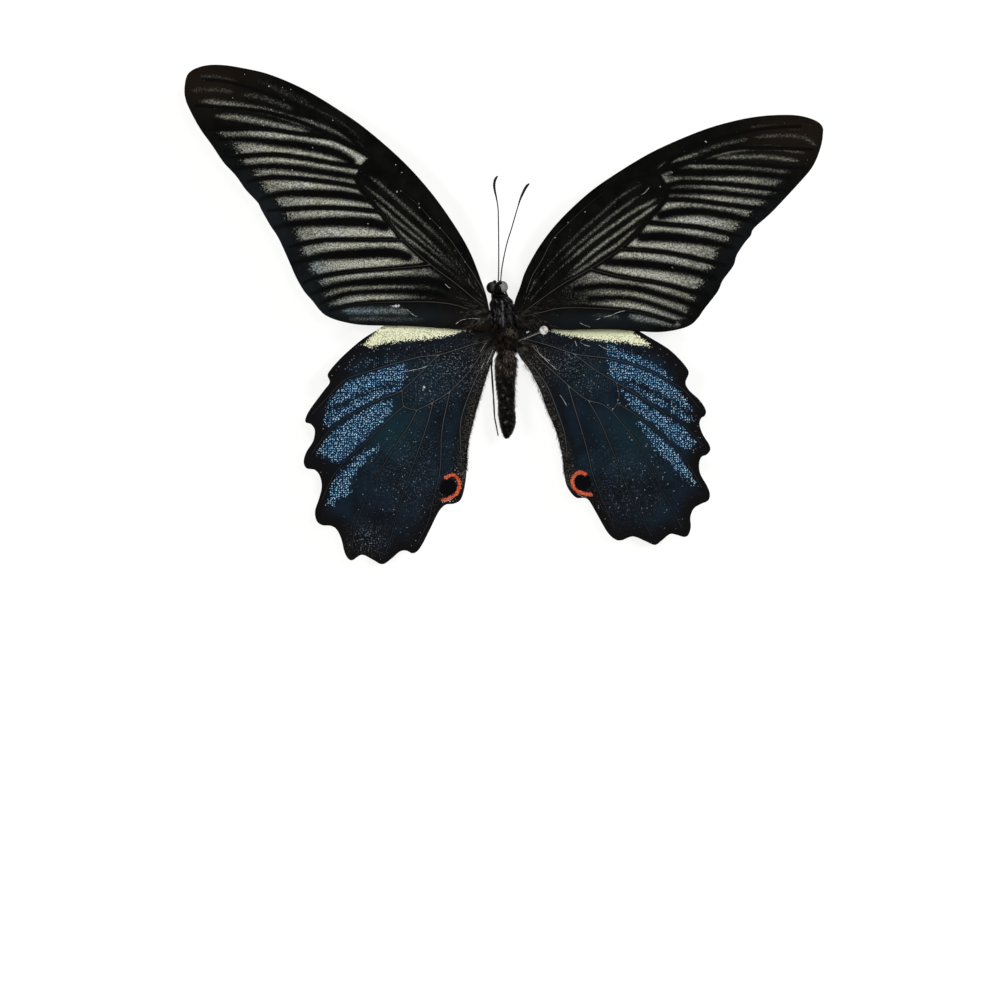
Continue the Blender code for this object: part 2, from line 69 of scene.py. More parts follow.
# Outlines of the wings
LEFT_FOREWING = [
    (488, 303), (481, 280), (469, 250), (451, 220), (429, 190), (401.5, 160),
    (367, 130), (338.5, 110), (305, 90), (270, 75), (240, 68), (220, 65.4),
    (205, 66.2), (193, 70.5), (187, 77), (184.8, 90), (186, 100), (190, 110),
    (200, 128.5), (212.5, 146), (224, 163), (236, 176), (246, 190), (258, 203),
    (261, 209), (270, 225), (279, 239), (289, 261), (296, 277), (304, 291),
    (312.5, 301), (320, 310.5), (327, 316.3), (340, 321.3), (360, 325),
    (385, 325.9), (410, 326.2), (440, 328.2), (470, 330), (490, 329),
]
RIGHT_FOREWING = [
    (514, 306), (520, 287), (526, 270), (540, 245.4), (560, 220), (590, 192),
    (620, 171.3), (650, 153.4), (680, 139.5), (710, 128), (740, 120), (765, 116.2),
    (790, 115.4), (805, 117.4), (817, 122), (822.2, 127.6), (822.6, 134), (821, 145),
    (816.5, 158.5), (810.9, 169.1), (802, 179.8), (784, 199.4), (770, 214),
    (753.7, 228.6), (750.4, 235.9), (744.5, 243), (736.5, 255.4), (733.1, 266.1),
    (722.5, 280.7), (717.4, 291.9), (704, 309.3), (697.8, 318.3), (689.9, 325.5),
    (677.6, 329.8), (660, 332.3), (640.6, 331.7), (610, 329.5), (580, 329.8),
    (560, 330), (540, 328), (518, 326),
]
LEFT_HINDWING = [
    (373.9, 331.8), (360, 341), (345, 354), (335, 364.2), (328.6, 372.4), (327.7, 376),
    (329.6, 382.6), (323.6, 390.8), (310.3, 408.8), (305.6, 418), (305.8, 422.5),
    (310.8, 424.2), (314.7, 430.3), (312.9, 441.3), (306.2, 452), (303.6, 461.8),
    (306.5, 468.3), (314.9, 470), (320, 476.7), (321.6, 487), (319, 498.2), (314.9, 511),
    (316.5, 520.8), (322, 525.2), (330, 525.8), (336, 529), (341, 538.7), (345, 554),
    (351.3, 560.5), (361.6, 554.9), (372, 559.5), (382.1, 564.4), (391, 559),
    (399.5, 551.8), (406, 550.7), (413, 553.4), (420, 548), (429.3, 530.5), (438.5, 512),
    (445.7, 504.7), (454, 503.6), (461.4, 498.2), (465.9, 478.6), (468.6, 443),
    (477.5, 407), (488.2, 371.4), (492.4, 359), (495.5, 346), (495.5, 334), (493, 325), (478, 321),
    (455, 313), (425, 311), (400, 317),
]
RIGHT_HINDWING = [
    (650, 337.5), (668, 348.5), (680, 359.5), (687.5, 369), (688.6, 374), (685.6, 382.5),
    (689, 390), (700, 400.5), (705.8, 410), (705, 415.5), (701, 418.5), (699.7, 425),
    (703, 434.5), (709, 444), (710.3, 450), (706.5, 454.8), (701.5, 457), (699.2, 464),
    (700.5, 474), (707, 485.5), (710, 494), (708.2, 500.6), (701, 504), (694, 508.5),
    (690.6, 517), (691, 527), (688.5, 535), (684, 537), (677, 535), (670, 534.2),
    (662, 540.5), (655, 545), (645, 541), (633, 536.5), (622, 540.3), (615, 539.3),
    (607, 531.5), (597, 514), (589, 500.5), (584, 498), (576, 497.5), (568.5, 489),
    (564.8, 478), (561.5, 452), (555.5, 429.5), (547, 410), (540, 390.5), (530, 370.5),
    (521, 358.5), (517, 350), (516, 338), (518, 327), (532, 321), (555, 314), (585, 311),
    (613, 317), (632, 327),
]

# Veins
LEFT_FOREWING_VEINS = [
    [(484, 292), (474, 275), (462, 257), (451, 241), (440, 228), (430, 218), (419, 206),
     (406, 195), (392, 182), (380, 170), (371, 158)],
    [(484, 306), (472, 297), (455, 283), (431, 265), (403, 240), (390, 224), (375, 206),
     (360, 188)],
    [(360, 188), (358, 180), (363, 168), (371, 158)],
    [(371, 158), (345, 134), (310, 112), (270, 95), (230, 83), (204, 80)],
    [(371, 158), (350, 146), (333, 138), (310, 126), (280, 116), (250, 110), (196, 106)],
    [(333, 138), (300, 134), (260, 129), (210, 130)],
    [(363, 168), (335, 164), (300, 158), (270, 155), (230, 158)],
    [(360, 188), (340, 184), (300, 179), (270, 178), (248, 182)],
    [(380, 212), (350, 209), (320, 208), (290, 209.5), (268, 211)],
    [(403, 240), (380, 240), (340, 240), (320, 241), (290, 247)],
    [(431, 265), (400, 268), (350, 272), (320, 277), (304, 283)],
    [(482, 315), (465, 308), (450, 304), (430, 302), (400, 302), (360, 304), (330, 311)],
]
RIGHT_FOREWING_VEINS = [
    [(526, 293), (532.3, 276), (543, 258), (553, 239), (569, 223), (585.8, 207), (609, 189),
     (626, 181.4), (643, 176.4), (656, 174)],
    [(524, 312), (540, 300), (563, 284), (590, 269), (620, 248.8), (639.6, 229.7), (656.4, 210),
     (665.4, 200)],
    [(665.4, 200), (665, 190), (661.5, 181.4), (656, 174)],
    [(656, 174), (675, 158), (700, 146), (730, 136), (765, 129), (800, 127)],
    [(656, 174), (670, 168.3), (690, 162.5), (704, 157.4), (720, 152), (750, 148), (812, 150)],
    [(690, 162.5), (727, 163), (756, 165), (803, 169)],
    [(665, 188), (680, 183), (720, 184), (760, 188), (784, 191)],
    [(665.4, 200), (690, 200.5), (730, 205.5), (764, 210)],
    [(646, 222.5), (670, 225), (700, 228), (742, 237)],
    [(620, 248.8), (660, 252), (692, 258), (726, 266)],
    [(590, 269), (620, 276.7), (660, 283.5), (692, 292), (707, 295)],
    [(524, 316), (540, 312.7), (563, 308), (600, 308.7), (640, 312.8), (674, 323)],
]
LEFT_HINDWING_VEINS = [
    [(486, 341), (470, 345), (440, 354.4), (420, 356.8), (390, 364.7), (360, 374), (344, 380.6),
     (325, 400), (312, 414)],
    [(440, 354.4), (430, 363), (402, 390), (380, 399), (350, 415), (330, 429.5), (312, 453)],
    [(402, 390), (404, 406), (417, 410)],
    [(404, 406), (390, 418), (375, 433), (355, 452), (335, 473), (322, 500)],
    [(417, 410), (408, 427), (395, 446), (376, 478), (366, 498), (355, 528), (352, 550)],
    [(486, 346), (470, 370), (450, 391), (433, 402), (417, 410)],
    [(433, 402), (426, 428), (413, 465), (401, 500), (390, 540), (384, 555)],
    [(450, 391), (442, 430), (440, 470), (433, 500), (428, 522), (417, 544)],
    [(487, 355), (470, 392), (461, 420), (460.5, 445), (462, 470)],
]
RIGHT_HINDWING_VEINS = [
    [(526, 339), (548, 345), (572, 353), (590, 356), (610, 358.5), (630, 363.5), (650, 371),
     (668, 380.5), (685, 391), (699, 408)],
    [(572, 353), (582, 360), (597, 371), (616, 382), (636, 394), (657, 408), (680, 421),
     (703, 446)],
    [(616, 382), (619, 394), (617.5, 403), (612, 411)],
    [(617.5, 403), (636, 415), (653, 428), (668, 441), (684, 457), (702, 488)],
    [(612, 411), (625, 427), (637, 442), (646, 458), (660, 486), (682, 528)],
    [(525, 345), (535, 355), (555, 373), (575, 391), (588, 400), (602, 404), (612, 411)],
    [(588, 400), (600, 421), (611, 447), (622, 474), (632, 500), (652, 536)],
    [(568, 385), (573, 402), (581, 428), (588, 453), (594, 478), (615, 530)],
    [(524, 356), (545, 382), (557, 410), (565, 435), (567, 460)],
]

# Dark folds between the veins of the forewings, as grid x, grid y and half width
LEFT_FOREWING_FOLDS = [
    [(220, 140, 1), (250, 140, 1.6), (275, 143, 2.4), (300, 145.5, 3), (335, 153, 3),
     (352, 162, 2)],
    [(235, 169, .9), (270, 166.5, 1.5), (300, 169, 2), (340, 175, 2), (358, 178, 1.5)],
    [(262, 199, .8), (280, 194.5, 1.6), (300, 193.5, 2.6), (340, 195, 3), (368, 200, 2.4)],
    [(275, 228, .8), (300, 223.5, 2.4), (340, 222, 3.6), (370, 223, 3.8), (385, 227, 3)],
    [(292, 264, .8), (320, 257, 2.4), (350, 254.5, 3.6), (390, 253, 3.8), (408, 257, 2.6)],
    [(312, 294, .8), (340, 285, 1.8), (380, 281.5, 3), (420, 281, 3), (440, 284, 2.4),
     (448, 290, 1.2)],
    [(322, 303, .8), (350, 293.5, 1.2), (400, 291.5, 1.6), (430, 293, 1.6), (445, 297, 1)],
]
RIGHT_FOREWING_FOLDS = [
    [(668, 172.5, 2.5), (700, 173, 3), (750, 173.5, 2), (790, 178.5, 1)],
    [(668, 192, 2), (700, 191.8, 1.8), (742, 195.5, 1.3), (775, 199.5, .8)],
    [(661, 215.5, 3), (680, 212, 3), (700, 212, 2.8), (725, 215.5, 2.5), (752, 222, 1.5),
     (760, 226, 1)],
    [(641, 237.3, 3.2), (665, 237, 3.6), (700, 241, 2.8), (733, 248, 1.2)],
    [(607, 262, 2.5), (640, 264, 3.2), (670, 268, 3), (700, 274, 2), (716, 279, 1)],
    [(575, 289, .8), (600, 286, 1.5), (620, 287, 2), (640, 289.5, 2), (660, 295, 2),
     (690, 304, 1.3),
     (700, 309, 1)],
    [(590, 299, 1), (620, 298, 1.2), (640, 301, 1.2), (660, 307, 1.2), (690, 318, .8)],
]

# Where the light stripes of the forewings lie: the ground outside is black
LEFT_STRIPED_FIELD = [
    (217, 128.5), (219, 134), (224, 138), (233, 144), (235, 149), (240, 156), (241, 163),
    (253, 171),
    (255, 177), (261, 183), (264, 190), (275, 200), (284, 213), (287, 220), (294, 230), (297, 238),
    (301, 247), (303, 254), (308, 263), (310, 270), (318, 279), (322, 288), (325, 296), (330, 309),
    (345, 306), (360, 304), (400, 302.5), (440, 303), (465, 307), (474, 311), (470, 296),
    (455, 283),
    (431, 265), (403, 240), (390, 224), (375, 206), (360, 188), (357, 180), (362, 168), (371, 158),
    (362, 151), (350, 146), (333, 139.5), (310, 136), (290, 132.5), (270, 130), (245, 128),
]
RIGHT_STRIPED_FIELD = [
    (790, 168), (791, 173), (781, 176), (783, 184), (774, 186), (775, 193), (766, 197), (764, 205),
    (755, 208), (751, 216), (743, 221), (738, 229), (730, 235), (728, 243), (719, 250), (716, 258),
    (714, 267), (706, 275), (702, 285), (695, 292), (694, 302), (687, 308), (688, 318), (682, 321),
    (674, 322), (640, 312), (600, 308), (563, 308), (535, 313), (545, 298), (563, 285), (590, 270),
    (620, 250), (640, 231), (657, 211), (667, 200), (667, 188), (657, 175), (670, 167), (690, 162),
    (727, 162), (765, 163),
]

# Points of each field that lie along the ragged outer ends of the stripes
FRONT_POINTS = 24

# Lighter streaks in the cell and at the tip, as points, half width and strength
LEFT_STREAKS = [
    ([(197, 101), (221, 104), (247, 107.5), (270, 112.5), (294, 120.5), (323, 131.5)], 5.4, .66),
    ([(212, 116), (241, 118.6), (262, 122.5), (286, 128), (312, 132.5)], 4.8, .76),
    ([(366, 175), (377, 182), (388, 191), (400, 202), (420, 220), (440, 239), (462, 265)], 2.8,
     .5),
    ([(362, 184), (385, 202), (405, 219.5), (425, 237.5), (445, 257), (468, 281)], 2.1, .62),
    ([(368, 195), (392, 217), (412, 233.5), (432, 250), (452, 267), (464, 278)], 1.9, .62),
    ([(380, 211), (400, 232), (425, 252), (455, 276), (474, 291)], 1.6, .7),
    ([(200, 77), (222, 79), (238, 85)], 4.6, .36), ([(190, 91), (215, 90), (234, 93)], 4.6, .36),
    ([(240, 95), (262, 98), (276, 103), (295, 110)], 5, .38),
    ([(255, 80), (285, 92), (312, 104)], 4, .28),
    ([(292, 117), (311, 123), (333, 131), (354, 142), (368, 154)], 3.4, .58),
    ([(352, 150), (361, 155), (369, 160)], 2.6, .8),
    ([(268, 87), (294, 99), (319, 111), (343, 124), (368, 146)], 1.8, .32),
    ([(300, 108), (322, 119), (345, 134)], 1.8, .34),
    ([(356, 186), (372, 203), (390, 222), (404, 238), (420, 254)], 2.2, .62),
    ([(338, 311), (370, 311), (392, 311), (412, 313)], 6, .7),
    ([(345, 319), (385, 319), (430, 320)], 4.4, .46),
    ([(452, 247), (466, 265), (478, 285)], .9, 1), ([(444, 250), (460, 268), (476, 290)], .9, .8),
    ([(486, 301), (470, 284), (455, 270)], .9, .9), ([(488, 304), (474, 296), (458, 289)], .9, .9),
    ([(485, 297), (468, 274), (452, 256)], .8, .8), ([(487, 306), (470, 301), (452, 296)], .8, .8),
]
RIGHT_STREAKS = [
    ([(551, 258), (569, 243), (584, 228.5), (600, 214.7), (622, 195.7), (645.5, 182)], 1.9, .45),
    ([(556.6, 264.5), (573.5, 248.6), (588, 236), (616, 212.6), (643, 193.6)], 2.1, .55),
    ([(560, 269), (584, 247.5), (600, 235), (632, 212.6), (646.5, 205), (658, 198)], 2.3, .72),
    ([(564, 277), (586, 258), (600, 246.5), (632, 223), (646.5, 212.6), (659, 204)], 2.3, .8),
    ([(556, 285), (584, 267.6), (600, 256), (616, 245.4), (640, 225)], 2.3, .75),
    ([(690, 160), (716, 155), (752, 148.5), (780, 149), (808, 154)], 3.4, .62),
    ([(712, 159), (760, 157), (802, 162)], 3.2, .62),
    ([(750, 138), (783, 136), (803, 138), (817, 147)], 3.2, .42),
    ([(748, 128.5), (775, 127), (803, 129)], 3.4, .36),
    ([(695, 154), (722, 145), (750, 139)], 3, .44),
    ([(657, 170), (668, 163), (685, 158), (700, 153)], 2.4, .7),
    ([(663, 176), (672, 172)], 2.6, .6),
    ([(628, 316), (650, 320), (682, 325)], 6, .72), ([(590, 315), (622, 318)], 4, .42),
    ([(521, 303), (534, 272), (548, 246)], .9, 1), ([(522, 306), (544, 270), (572, 240)], .9, 1),
    ([(524, 308), (552, 276), (586, 246)], .9, 1), ([(526, 300), (540, 268)], .9, .8),
]

# Ragged cream band on the front edge of the hindwings
LEFT_CREAM = [
    (362, 345.5), (370, 337), (385, 322), (470, 322), (474, 329), (465, 331.5), (455, 335),
    (440, 338),
    (420, 340), (400, 342), (385, 344), (370, 347.5),
]
RIGHT_CREAM = [
    (549, 331.5), (553, 325), (600, 322), (630, 328), (640, 336), (650, 343.5), (651, 346.5),
    (646, 346.5), (636, 345.5), (620, 343), (600, 341), (580, 338.5), (565, 336),
]

# Fields of blue dots on the hindwings, each between two veins or folds
LEFT_BLUE = [
    [(400, 362), (375, 371), (345, 383), (330, 398), (327, 407), (345, 401), (365, 392),
     (385, 385),
     (403, 379), (406, 370)],
    [(403, 385), (385, 388), (365, 395), (345, 405), (325, 417), (324, 425), (332, 428),
     (350, 416),
     (372, 404), (392, 395)],
    [(392, 402), (375, 404), (350, 418), (330, 433), (318, 446), (316, 452), (328, 459),
     (341, 462),
     (354, 450), (373, 432), (388, 416)],
    [(378, 447), (366, 450), (352, 462), (336, 478), (328, 494), (327, 505), (338, 500),
     (350, 490),
     (357, 470), (370, 457)],
]
RIGHT_BLUE = [
    [(607, 347), (620, 350), (640, 357), (660, 368), (672, 380), (685, 396), (692, 410),
     (676, 402.5),
     (661, 394.5), (648, 387), (632, 380), (612, 379)],
    [(616, 381.5), (630, 384), (648, 392), (662, 400), (676, 408), (694, 418), (686, 422),
     (668, 412),
     (648, 400.5), (630, 390)],
    [(620, 388), (640, 400), (660, 413), (680, 425), (697, 437), (700, 443), (690, 448),
     (678, 446),
     (660, 430), (640, 416), (628, 402)],
    [(637, 419), (655, 433), (670, 446), (684, 461), (697, 481), (700, 487), (690, 482),
     (676, 470),
     (660, 453), (648, 437)],
]

# Open red rings round the black eyespots, and places of the eyespots' centres
LEFT_RING = [(446, 477.5), (453, 475), (458.5, 480), (459.3, 487), (456, 494), (449, 498.5),
             (443, 500)]
RIGHT_RING = [(586, 474), (579, 472.3), (573.5, 477), (572.7, 484), (576, 490), (583, 493.5),
              (591, 494.5)]
LEFT_PUPIL = (448, 487.5)
RIGHT_PUPIL = (583, 482)
RING_HALF_WIDTH = 1.75
PUPIL_RADIUS = 8.7

# Soft patches, as grid x, grid y, reach along x, reach along y and strength
LEFT_FOREWING_LOOKS = {
    "stripe": 1.0,
    "dim": [(450, 298, 30, 12, .25), (330, 300, 12, 10, .2), (240, 132, 14, 8, .2)],
    "slate": [(265, 215, 60, 55, .9), (310, 300, 60, 40, .8), (380, 316, 110, 10, 1)],
    "cool": [(312, 272, 14, 20, .55), (358, 312, 46, 8, 1), (420, 316, 40, 8, .8)],
    "brown": [(200, 80, 55, 26, .9), (480, 318, 26, 22, .6)],
}
RIGHT_FOREWING_LOOKS = {
    "stripe": 0.96,
    "dim": [(790, 170, 60, 16, .35), (675, 182, 25, 14, .3), (575, 298, 30, 12, .4)],
    "slate": [(740, 235, 60, 60, .45), (600, 320, 70, 12, .8)],
    "cool": [(600, 320, 60, 8, .8)],
    "brown": [(800, 135, 55, 25, .9), (525, 322, 22, 16, .5)],
}
LEFT_HINDWING_LOOKS = {
    "blue": LEFT_BLUE, "cream": LEFT_CREAM, "ring": LEFT_RING, "pupil": LEFT_PUPIL,
    "sparse": [(374, 364, 34, 9, .5), (368, 537, 16, 10, .18), (415, 480, 60, 70, .05),
               (455, 380, 45, 30, .05), (410, 351, 50, 8, .2)],
    "powder": [(455, 368, 42, 22, .9), (430, 395, 24, 14, .7), (415, 475, 40, 45, .35),
               (368, 540, 18, 14, .8), (470, 350, 20, 12, .6)],
    "shade": [],
    "inner": [(490, 352), (477.5, 407), (468.6, 443), (466, 478)], "inner_width": 14,
    "teal": [(392, 430, 26, 26, .9), (440, 378, 30, 12, .3)],
    "dusk": [(478, 350, 34, 34, .85), (400, 352, 60, 7, .5), (380, 535, 50, 26, .5),
             (440, 520, 30, 26, .5)],
}
RIGHT_HINDWING_LOOKS = {
    "blue": RIGHT_BLUE, "cream": RIGHT_CREAM, "ring": RIGHT_RING, "pupil": RIGHT_PUPIL,
    "sparse": [(650, 362, 20, 8, .18), (640, 470, 50, 50, .05), (570, 375, 50, 30, .03)],
    "powder": [(560, 362, 36, 16, .8), (590, 382, 20, 12, .6), (628, 480, 40, 40, .3)],
    # Painted shadow of the forewing's edge on the top of the right cream streak
    "shade": [(600, 331, 60, 4.5, .75)],
    "inner": [(521, 352), (530, 370.5), (547, 410), (561.5, 452), (566, 480)], "inner_width": 13,
    "teal": [(630, 440, 30, 30, .6), (590, 375, 30, 14, .3)],
    "dusk": [(540, 355, 30, 44, .85), (620, 505, 40, 26, .5)],
}

# Loose things on the wings, as grid x, grid y and half size
FOREWING_SPECKS = [
    (397, 192, .9), (401, 191, .7), (419, 204, .7), (419.5, 208, .8), (430, 219, .5),
    (440, 228, .8),
    (396, 165, .7), (402, 173, .6), (465, 262, .5), (245, 75, .5), (269, 87, .8), (283, 88, .5),
    (271.5, 110, .7), (312, 121, .6), (333, 121, .8), (292.5, 170.5, .7), (233, 98.5, .5),
    (237, 154, .5), (368, 224, .6), (284, 100.5, .5), (302, 102, .5), (264, 126, .5),
    (313, 148, .6),
    (291, 90, .5), (672, 267.5, .5), (603, 223, .5), (706, 142.5, .8), (393.4, 306, 1.2),
    (396, 306.1, 1.7), (398.6, 306, 1.2),
    (555, 238, .6), (568, 222.5, .7), (585, 212, .5), (705, 142, .8), (660, 187, .6),
    (672, 173, .5),
]
HINDWING_SPECKS = [
    (442.5, 502.3, .5), (444.6, 502, .6), (446.8, 501, .6), (448.8, 500.4, .7), (450.8, 499.6, .7),
    (452.4, 498.8, .5), (456.5, 468, .5), (458, 471, .5), (578, 494.6, .5), (584, 497.4, .6),
    (527, 332, 1.4), (528.6, 331.4, 1),
    (600, 362, .5), (584, 375, .5), (618, 391, .6), (618, 400, .6), (608, 405, .6), (613, 409, .6),
    (620, 403, .5), (626, 406, .5), (632, 440, .5), (646, 446, .5), (652, 457, .5), (658, 467, .5),
    (663, 477, .5), (668, 484, .5), (674, 491, .5), (633, 480, .5), (645, 490, .5), (622, 486, .5),
    (637, 498, .5), (642, 508, .5), (424, 387, 1.2), (423, 390, .8), (423, 378, .5),
    (403, 366, .6),
    (407, 377, .7), (430, 391, .5), (573, 466, .5), (455, 470, .6), (458, 474, .5),
    (450, 501.5, .7),
    (446, 501, .6), (453, 501, .6), (582, 496.5, .6), (586, 497, .7), (580, 495.5, .5),
]
# Threads and scratches that lie on the wings, as grid points
FOREWING_THREADS = [
    [(402, 309), (408, 310.5), (412, 314), (417, 317)], [(445, 284), (448, 287), (450, 288)],
    [(605, 317), (611, 315.5), (618, 312.5), (625, 311)], [(596, 320), (600, 318.5)],
    [(580, 323), (585, 325.5), (590, 327)], [(641, 195), (644, 193.5), (647, 190.5), (649, 188)],
    [(480, 319), (470, 318.5), (462, 320), (456, 324)],
    [(390, 305.8), (394, 306.6), (399, 305.9)], [(391, 306.4), (396, 306), (399.5, 306.4)],
]
HINDWING_THREADS = [
    [(401, 372), (410, 370.5), (420, 368.5), (427, 366)], [(560, 395), (563, 399), (567, 406)],
    [(532, 345), (538, 352), (547, 361), (557, 370)], [(536, 346), (541, 355), (550, 361)],
    [(575, 341), (577, 346)], [(580, 342), (585, 345), (590, 346)],
    [(599, 345), (604, 348), (610, 350)],
    [(486, 343), (480, 352)], [(493, 350), (490, 357), (487, 364)], [(484, 363), (481, 368)],
]
FLECK_LIFT = 0.00011
THREAD_LIFT = 0.00012

# Where the veins of each wing run together
LEFT_FOREWING_ROOT = (488, 303)
RIGHT_FOREWING_ROOT = (514, 306)
LEFT_HINDWING_ROOT = (489, 343)
RIGHT_HINDWING_ROOT = (522, 343)

# Body, as grid x, grid y and half width along its length
THORAX_STATIONS = [
    (500.3, 296.2, 4), (500.5, 297.4, 8.2), (501, 301, 10.6), (502, 306, 11.8),
    (503.3, 312, 12.6), (504.5, 320, 13.2), (505.5, 328, 13.4), (506.5, 336, 12.8),
    (507.2, 343, 11.4), (507.5, 348, 9.3), (507.5, 350.4, 6),
]
THORAX_AXIS_HEIGHT = 0.00275
THORAX_DEPTH_TO_WIDTH = 1.27
# Plates and grooves along the back, as share of length from and to, angle, spread and rise
THORAX_PLATES = [
    (-.1, .16, 90, 80, .05), (.10, .60, 58, 10, .07), (.10, .60, 122, 10, .07),
    (.14, .66, 92, 7, .06), (.14, .66, 76, 6, -.09), (.14, .66, 107, 6, -.09),
    (.20, .62, 43, 5, -.07), (.20, .62, 138, 5, -.07), (.12, .66, 28, 15, .08),
    (.12, .66, 152, 15, .08), (.68, .90, 90, 34, .07),
]
# Seams across the back, and the swellings that carry the legs
THORAX_SEAMS = (.14, .36, .67, .90)
LEG_BASES = [
    (.2, .5, -20, 24, .05), (.2, .5, 200, 24, .05), (.55, .85, -20, 24, .05),
    (.55, .85, 200, 24, .05),
]
# Pale streaks of painted highlight along the plates of the back, as points, half width and
# strength
THORAX_PAINTED_HIGHLIGHTS = [
    ([(501.5, 300), (502.5, 305), (502.6, 311)], 1.5, .7),
    ([(502, 312), (503, 319), (503, 328)], 1.6, .8),
    ([(493.5, 308), (495, 314), (495, 321)], 1.2, .55),
    ([(508, 304.4), (511.5, 310), (516, 316.5)], .9, .6),
    ([(508, 312), (511, 320), (512, 328)], 1, .2), ([(489.5, 306), (491.5, 307.5)], 1, .7),
    ([(495, 298.5), (497, 302)], 1.2, .6), ([(505, 299), (508, 302)], 1, .4),
]
ABDOMEN_STATIONS = [
    (507, 351, 6.5), (506.2, 358, 10.4), (505.4, 369, 10.7), (505.3, 379, 10),
    (505.8, 391, 9.2), (506.3, 402, 8.4), (506.8, 413, 8.7), (507.5, 422, 8.1),
    (507.2, 431, 5.6), (506, 438.5, 1.2),
]
ABDOMEN_AXIS_HEIGHT = 0.00205
ABDOMEN_SEGMENTS = 9
HEAD_HEIGHT = 0.0033
LEFT_EYE = (492.3, 287.2, 6.1, 6.2, 6.6)
RIGHT_EYE = (502.2, 286.6, 5.9, 6.2, 6.6)

LEFT_ANTENNA = [
    (498.2, 281), (498.7, 268), (498.7, 245), (498.4, 220), (498, 208), (496.6, 199),
    (494.9, 191), (494.2, 185.5), (495.1, 180), (497.6, 176.2),
]
RIGHT_ANTENNA = [
    (500.6, 281), (502.2, 266), (506.5, 245), (511.5, 228.5), (516.5, 211.5), (520, 200),
    (523.2, 192.5), (526.2, 187), (529.3, 183.7),
]
ANTENNA_BASE_HEIGHT = 0.0042
ANTENNA_TIP_HEIGHT = 0.0056
FEELER_STEP = 0.00006
FEELER_RING = 0.00042
FEELER_RADIUS = 0.00011
CLUB_SWELL = 0.00013

# Skull, neck, palps and feeler sockets, as x, y, height, half sizes, points round, rows and lumps
HEAD_FORMS = [
    (497.4, 288.6, HEAD_HEIGHT, (6.4, 5.9, 7.6), 40, 24, .05),
    (499.8, 295.8, HEAD_HEIGHT - 0.0003, (8.8, 3.8, 6), 40, 16, .05),
    (494.6, 281.6, HEAD_HEIGHT - 0.0004, (2.1, 2.2, 5), 20, 14, .04),
    (500.2, 281.8, HEAD_HEIGHT - 0.0004, (2.1, 2.2, 5), 20, 14, .04),
    (498.2, 283, ANTENNA_BASE_HEIGHT, (1.5, 1.7, 1.4), 20, 12, 0),
    (500.6, 283, ANTENNA_BASE_HEIGHT, (1.5, 1.7, 1.4), 20, 12, 0),
]

# Where the pale tufts stand on the abdomen
ABDOMEN_MARKS = [(503, 386), (505, 390), (502, 395), (504, 407), (502, 415), (506, 422),
                 (507, 399), (500, 402), (509, 412)]

# Hair tones: the material's name, the dark root and the paler, worn tip
HAIR_TONES = {
    "russet": ("scale hair, dark russet", "#030202", "#4a3f37"),
    "rubbed": ("scale hair, rubbed brown", "#231b17", "#b5a192"),
    "dusky": ("scale hair, dusky", "#020202", "#23201d"),
    "worn": ("scale hair, pale and worn", "#2f2b28", "#9a9087"),
    "faded": ("scale hair, faded pink", "#5a4d46", "#d3c3b8"),
    "root": ("scale hair, wing root", "#060606", "#6a645c"),
}
# Hair that fans out at the wing roots: place, middle angle, spread in degrees, reach and height
ROOT_HAIR = [
    ("left_forewing", (492, 312), 196, 34, .0026, FOREWING_HEIGHT),
    ("right_forewing", (513, 313), -14, 30, .0026, FOREWING_HEIGHT),
    ("left_hindwing", (494, 340), 204, 34, .0020, HINDWING_HEIGHT),
    ("right_hindwing", (518, 343), -28, 34, .0022, HINDWING_HEIGHT),
]
ROOT_HAIR_COUNT = 1100
# Hairy inner edges of the hindwings, and the side to which their hair leans
HAIRY_EDGES = [
    ("left", [(491, 362), (484, 385), (477.5, 407), (472, 427), (468.6, 443), (467, 470)], 1),
    ("right", [(524, 363), (534, 379), (547, 410), (555.5, 429.5), (561.5, 452), (564, 474)], -1),
]
EDGE_HAIR_COUNT = 1300

# Legs, as x, y, z and radius in millimetres, from the body to the claws
LEGS = {
    "left_fore_leg": [
        (-1.0, 3.5, 1.3, .2), (-1.9, 4.8, 1.1, .25), (-2.1, 5.1, .9, .2),
        (-2.0, 2.6, .5, .16), (-2.1, 1.2, .3, .13), (-2.2, -.4, .12, .1),
    ],
    "right_fore_leg": [
        (-.2, 3.5, 1.3, .2), (-.3, 4.8, 1.1, .25), (-.1, 5.1, .9, .2),
        (1.0, 2.6, .5, .16), (1.25, 1.2, .3, .13), (1.5, -.4, .12, .1),
    ],
    "left_mid_leg": [
        (-2.2, -1.5, 1.0, .24), (-4.0, -.6, 1.9, .27), (-5.3, -.2, 2.3, .2),
        (-7.3, -3.4, 1.1, .17), (-8.4, -5.6, .4, .13), (-9.0, -8.4, .12, .1),
    ],
    "right_mid_leg": [
        (2.6, -1.5, 1.0, .24), (4.2, -.8, 1.9, .27), (5.6, -.3, 2.3, .2),
        (7.4, -3.6, 1.1, .17), (8.4, -5.9, .4, .13), (8.8, -8.6, .12, .1),
    ],
    "left_hind_leg": [
        (-1.2, -5.0, .8, .2), (-2.1, -7.3, 1.0, .24), (-2.15, -8.8, 1.2, .18),
        (-1.8, -14.0, .7, .15), (-1.6, -17.6, .35, .13), (-1.0, -20.7, .12, .1),
    ],
    "right_hind_leg": [
        (2.1, -5.1, .9, .22), (4.2, -5.6, 1.9, .25), (6.0, -6.5, 2.2, .19),
        (7.0, -11.5, .9, .16), (7.6, -13.8, .4, .13), (8.3, -16.8, .12, .1),
    ],
}

FOOT_PIECES = 5
LEG_STEPS = 9
SPINES_A_PIECE = 26

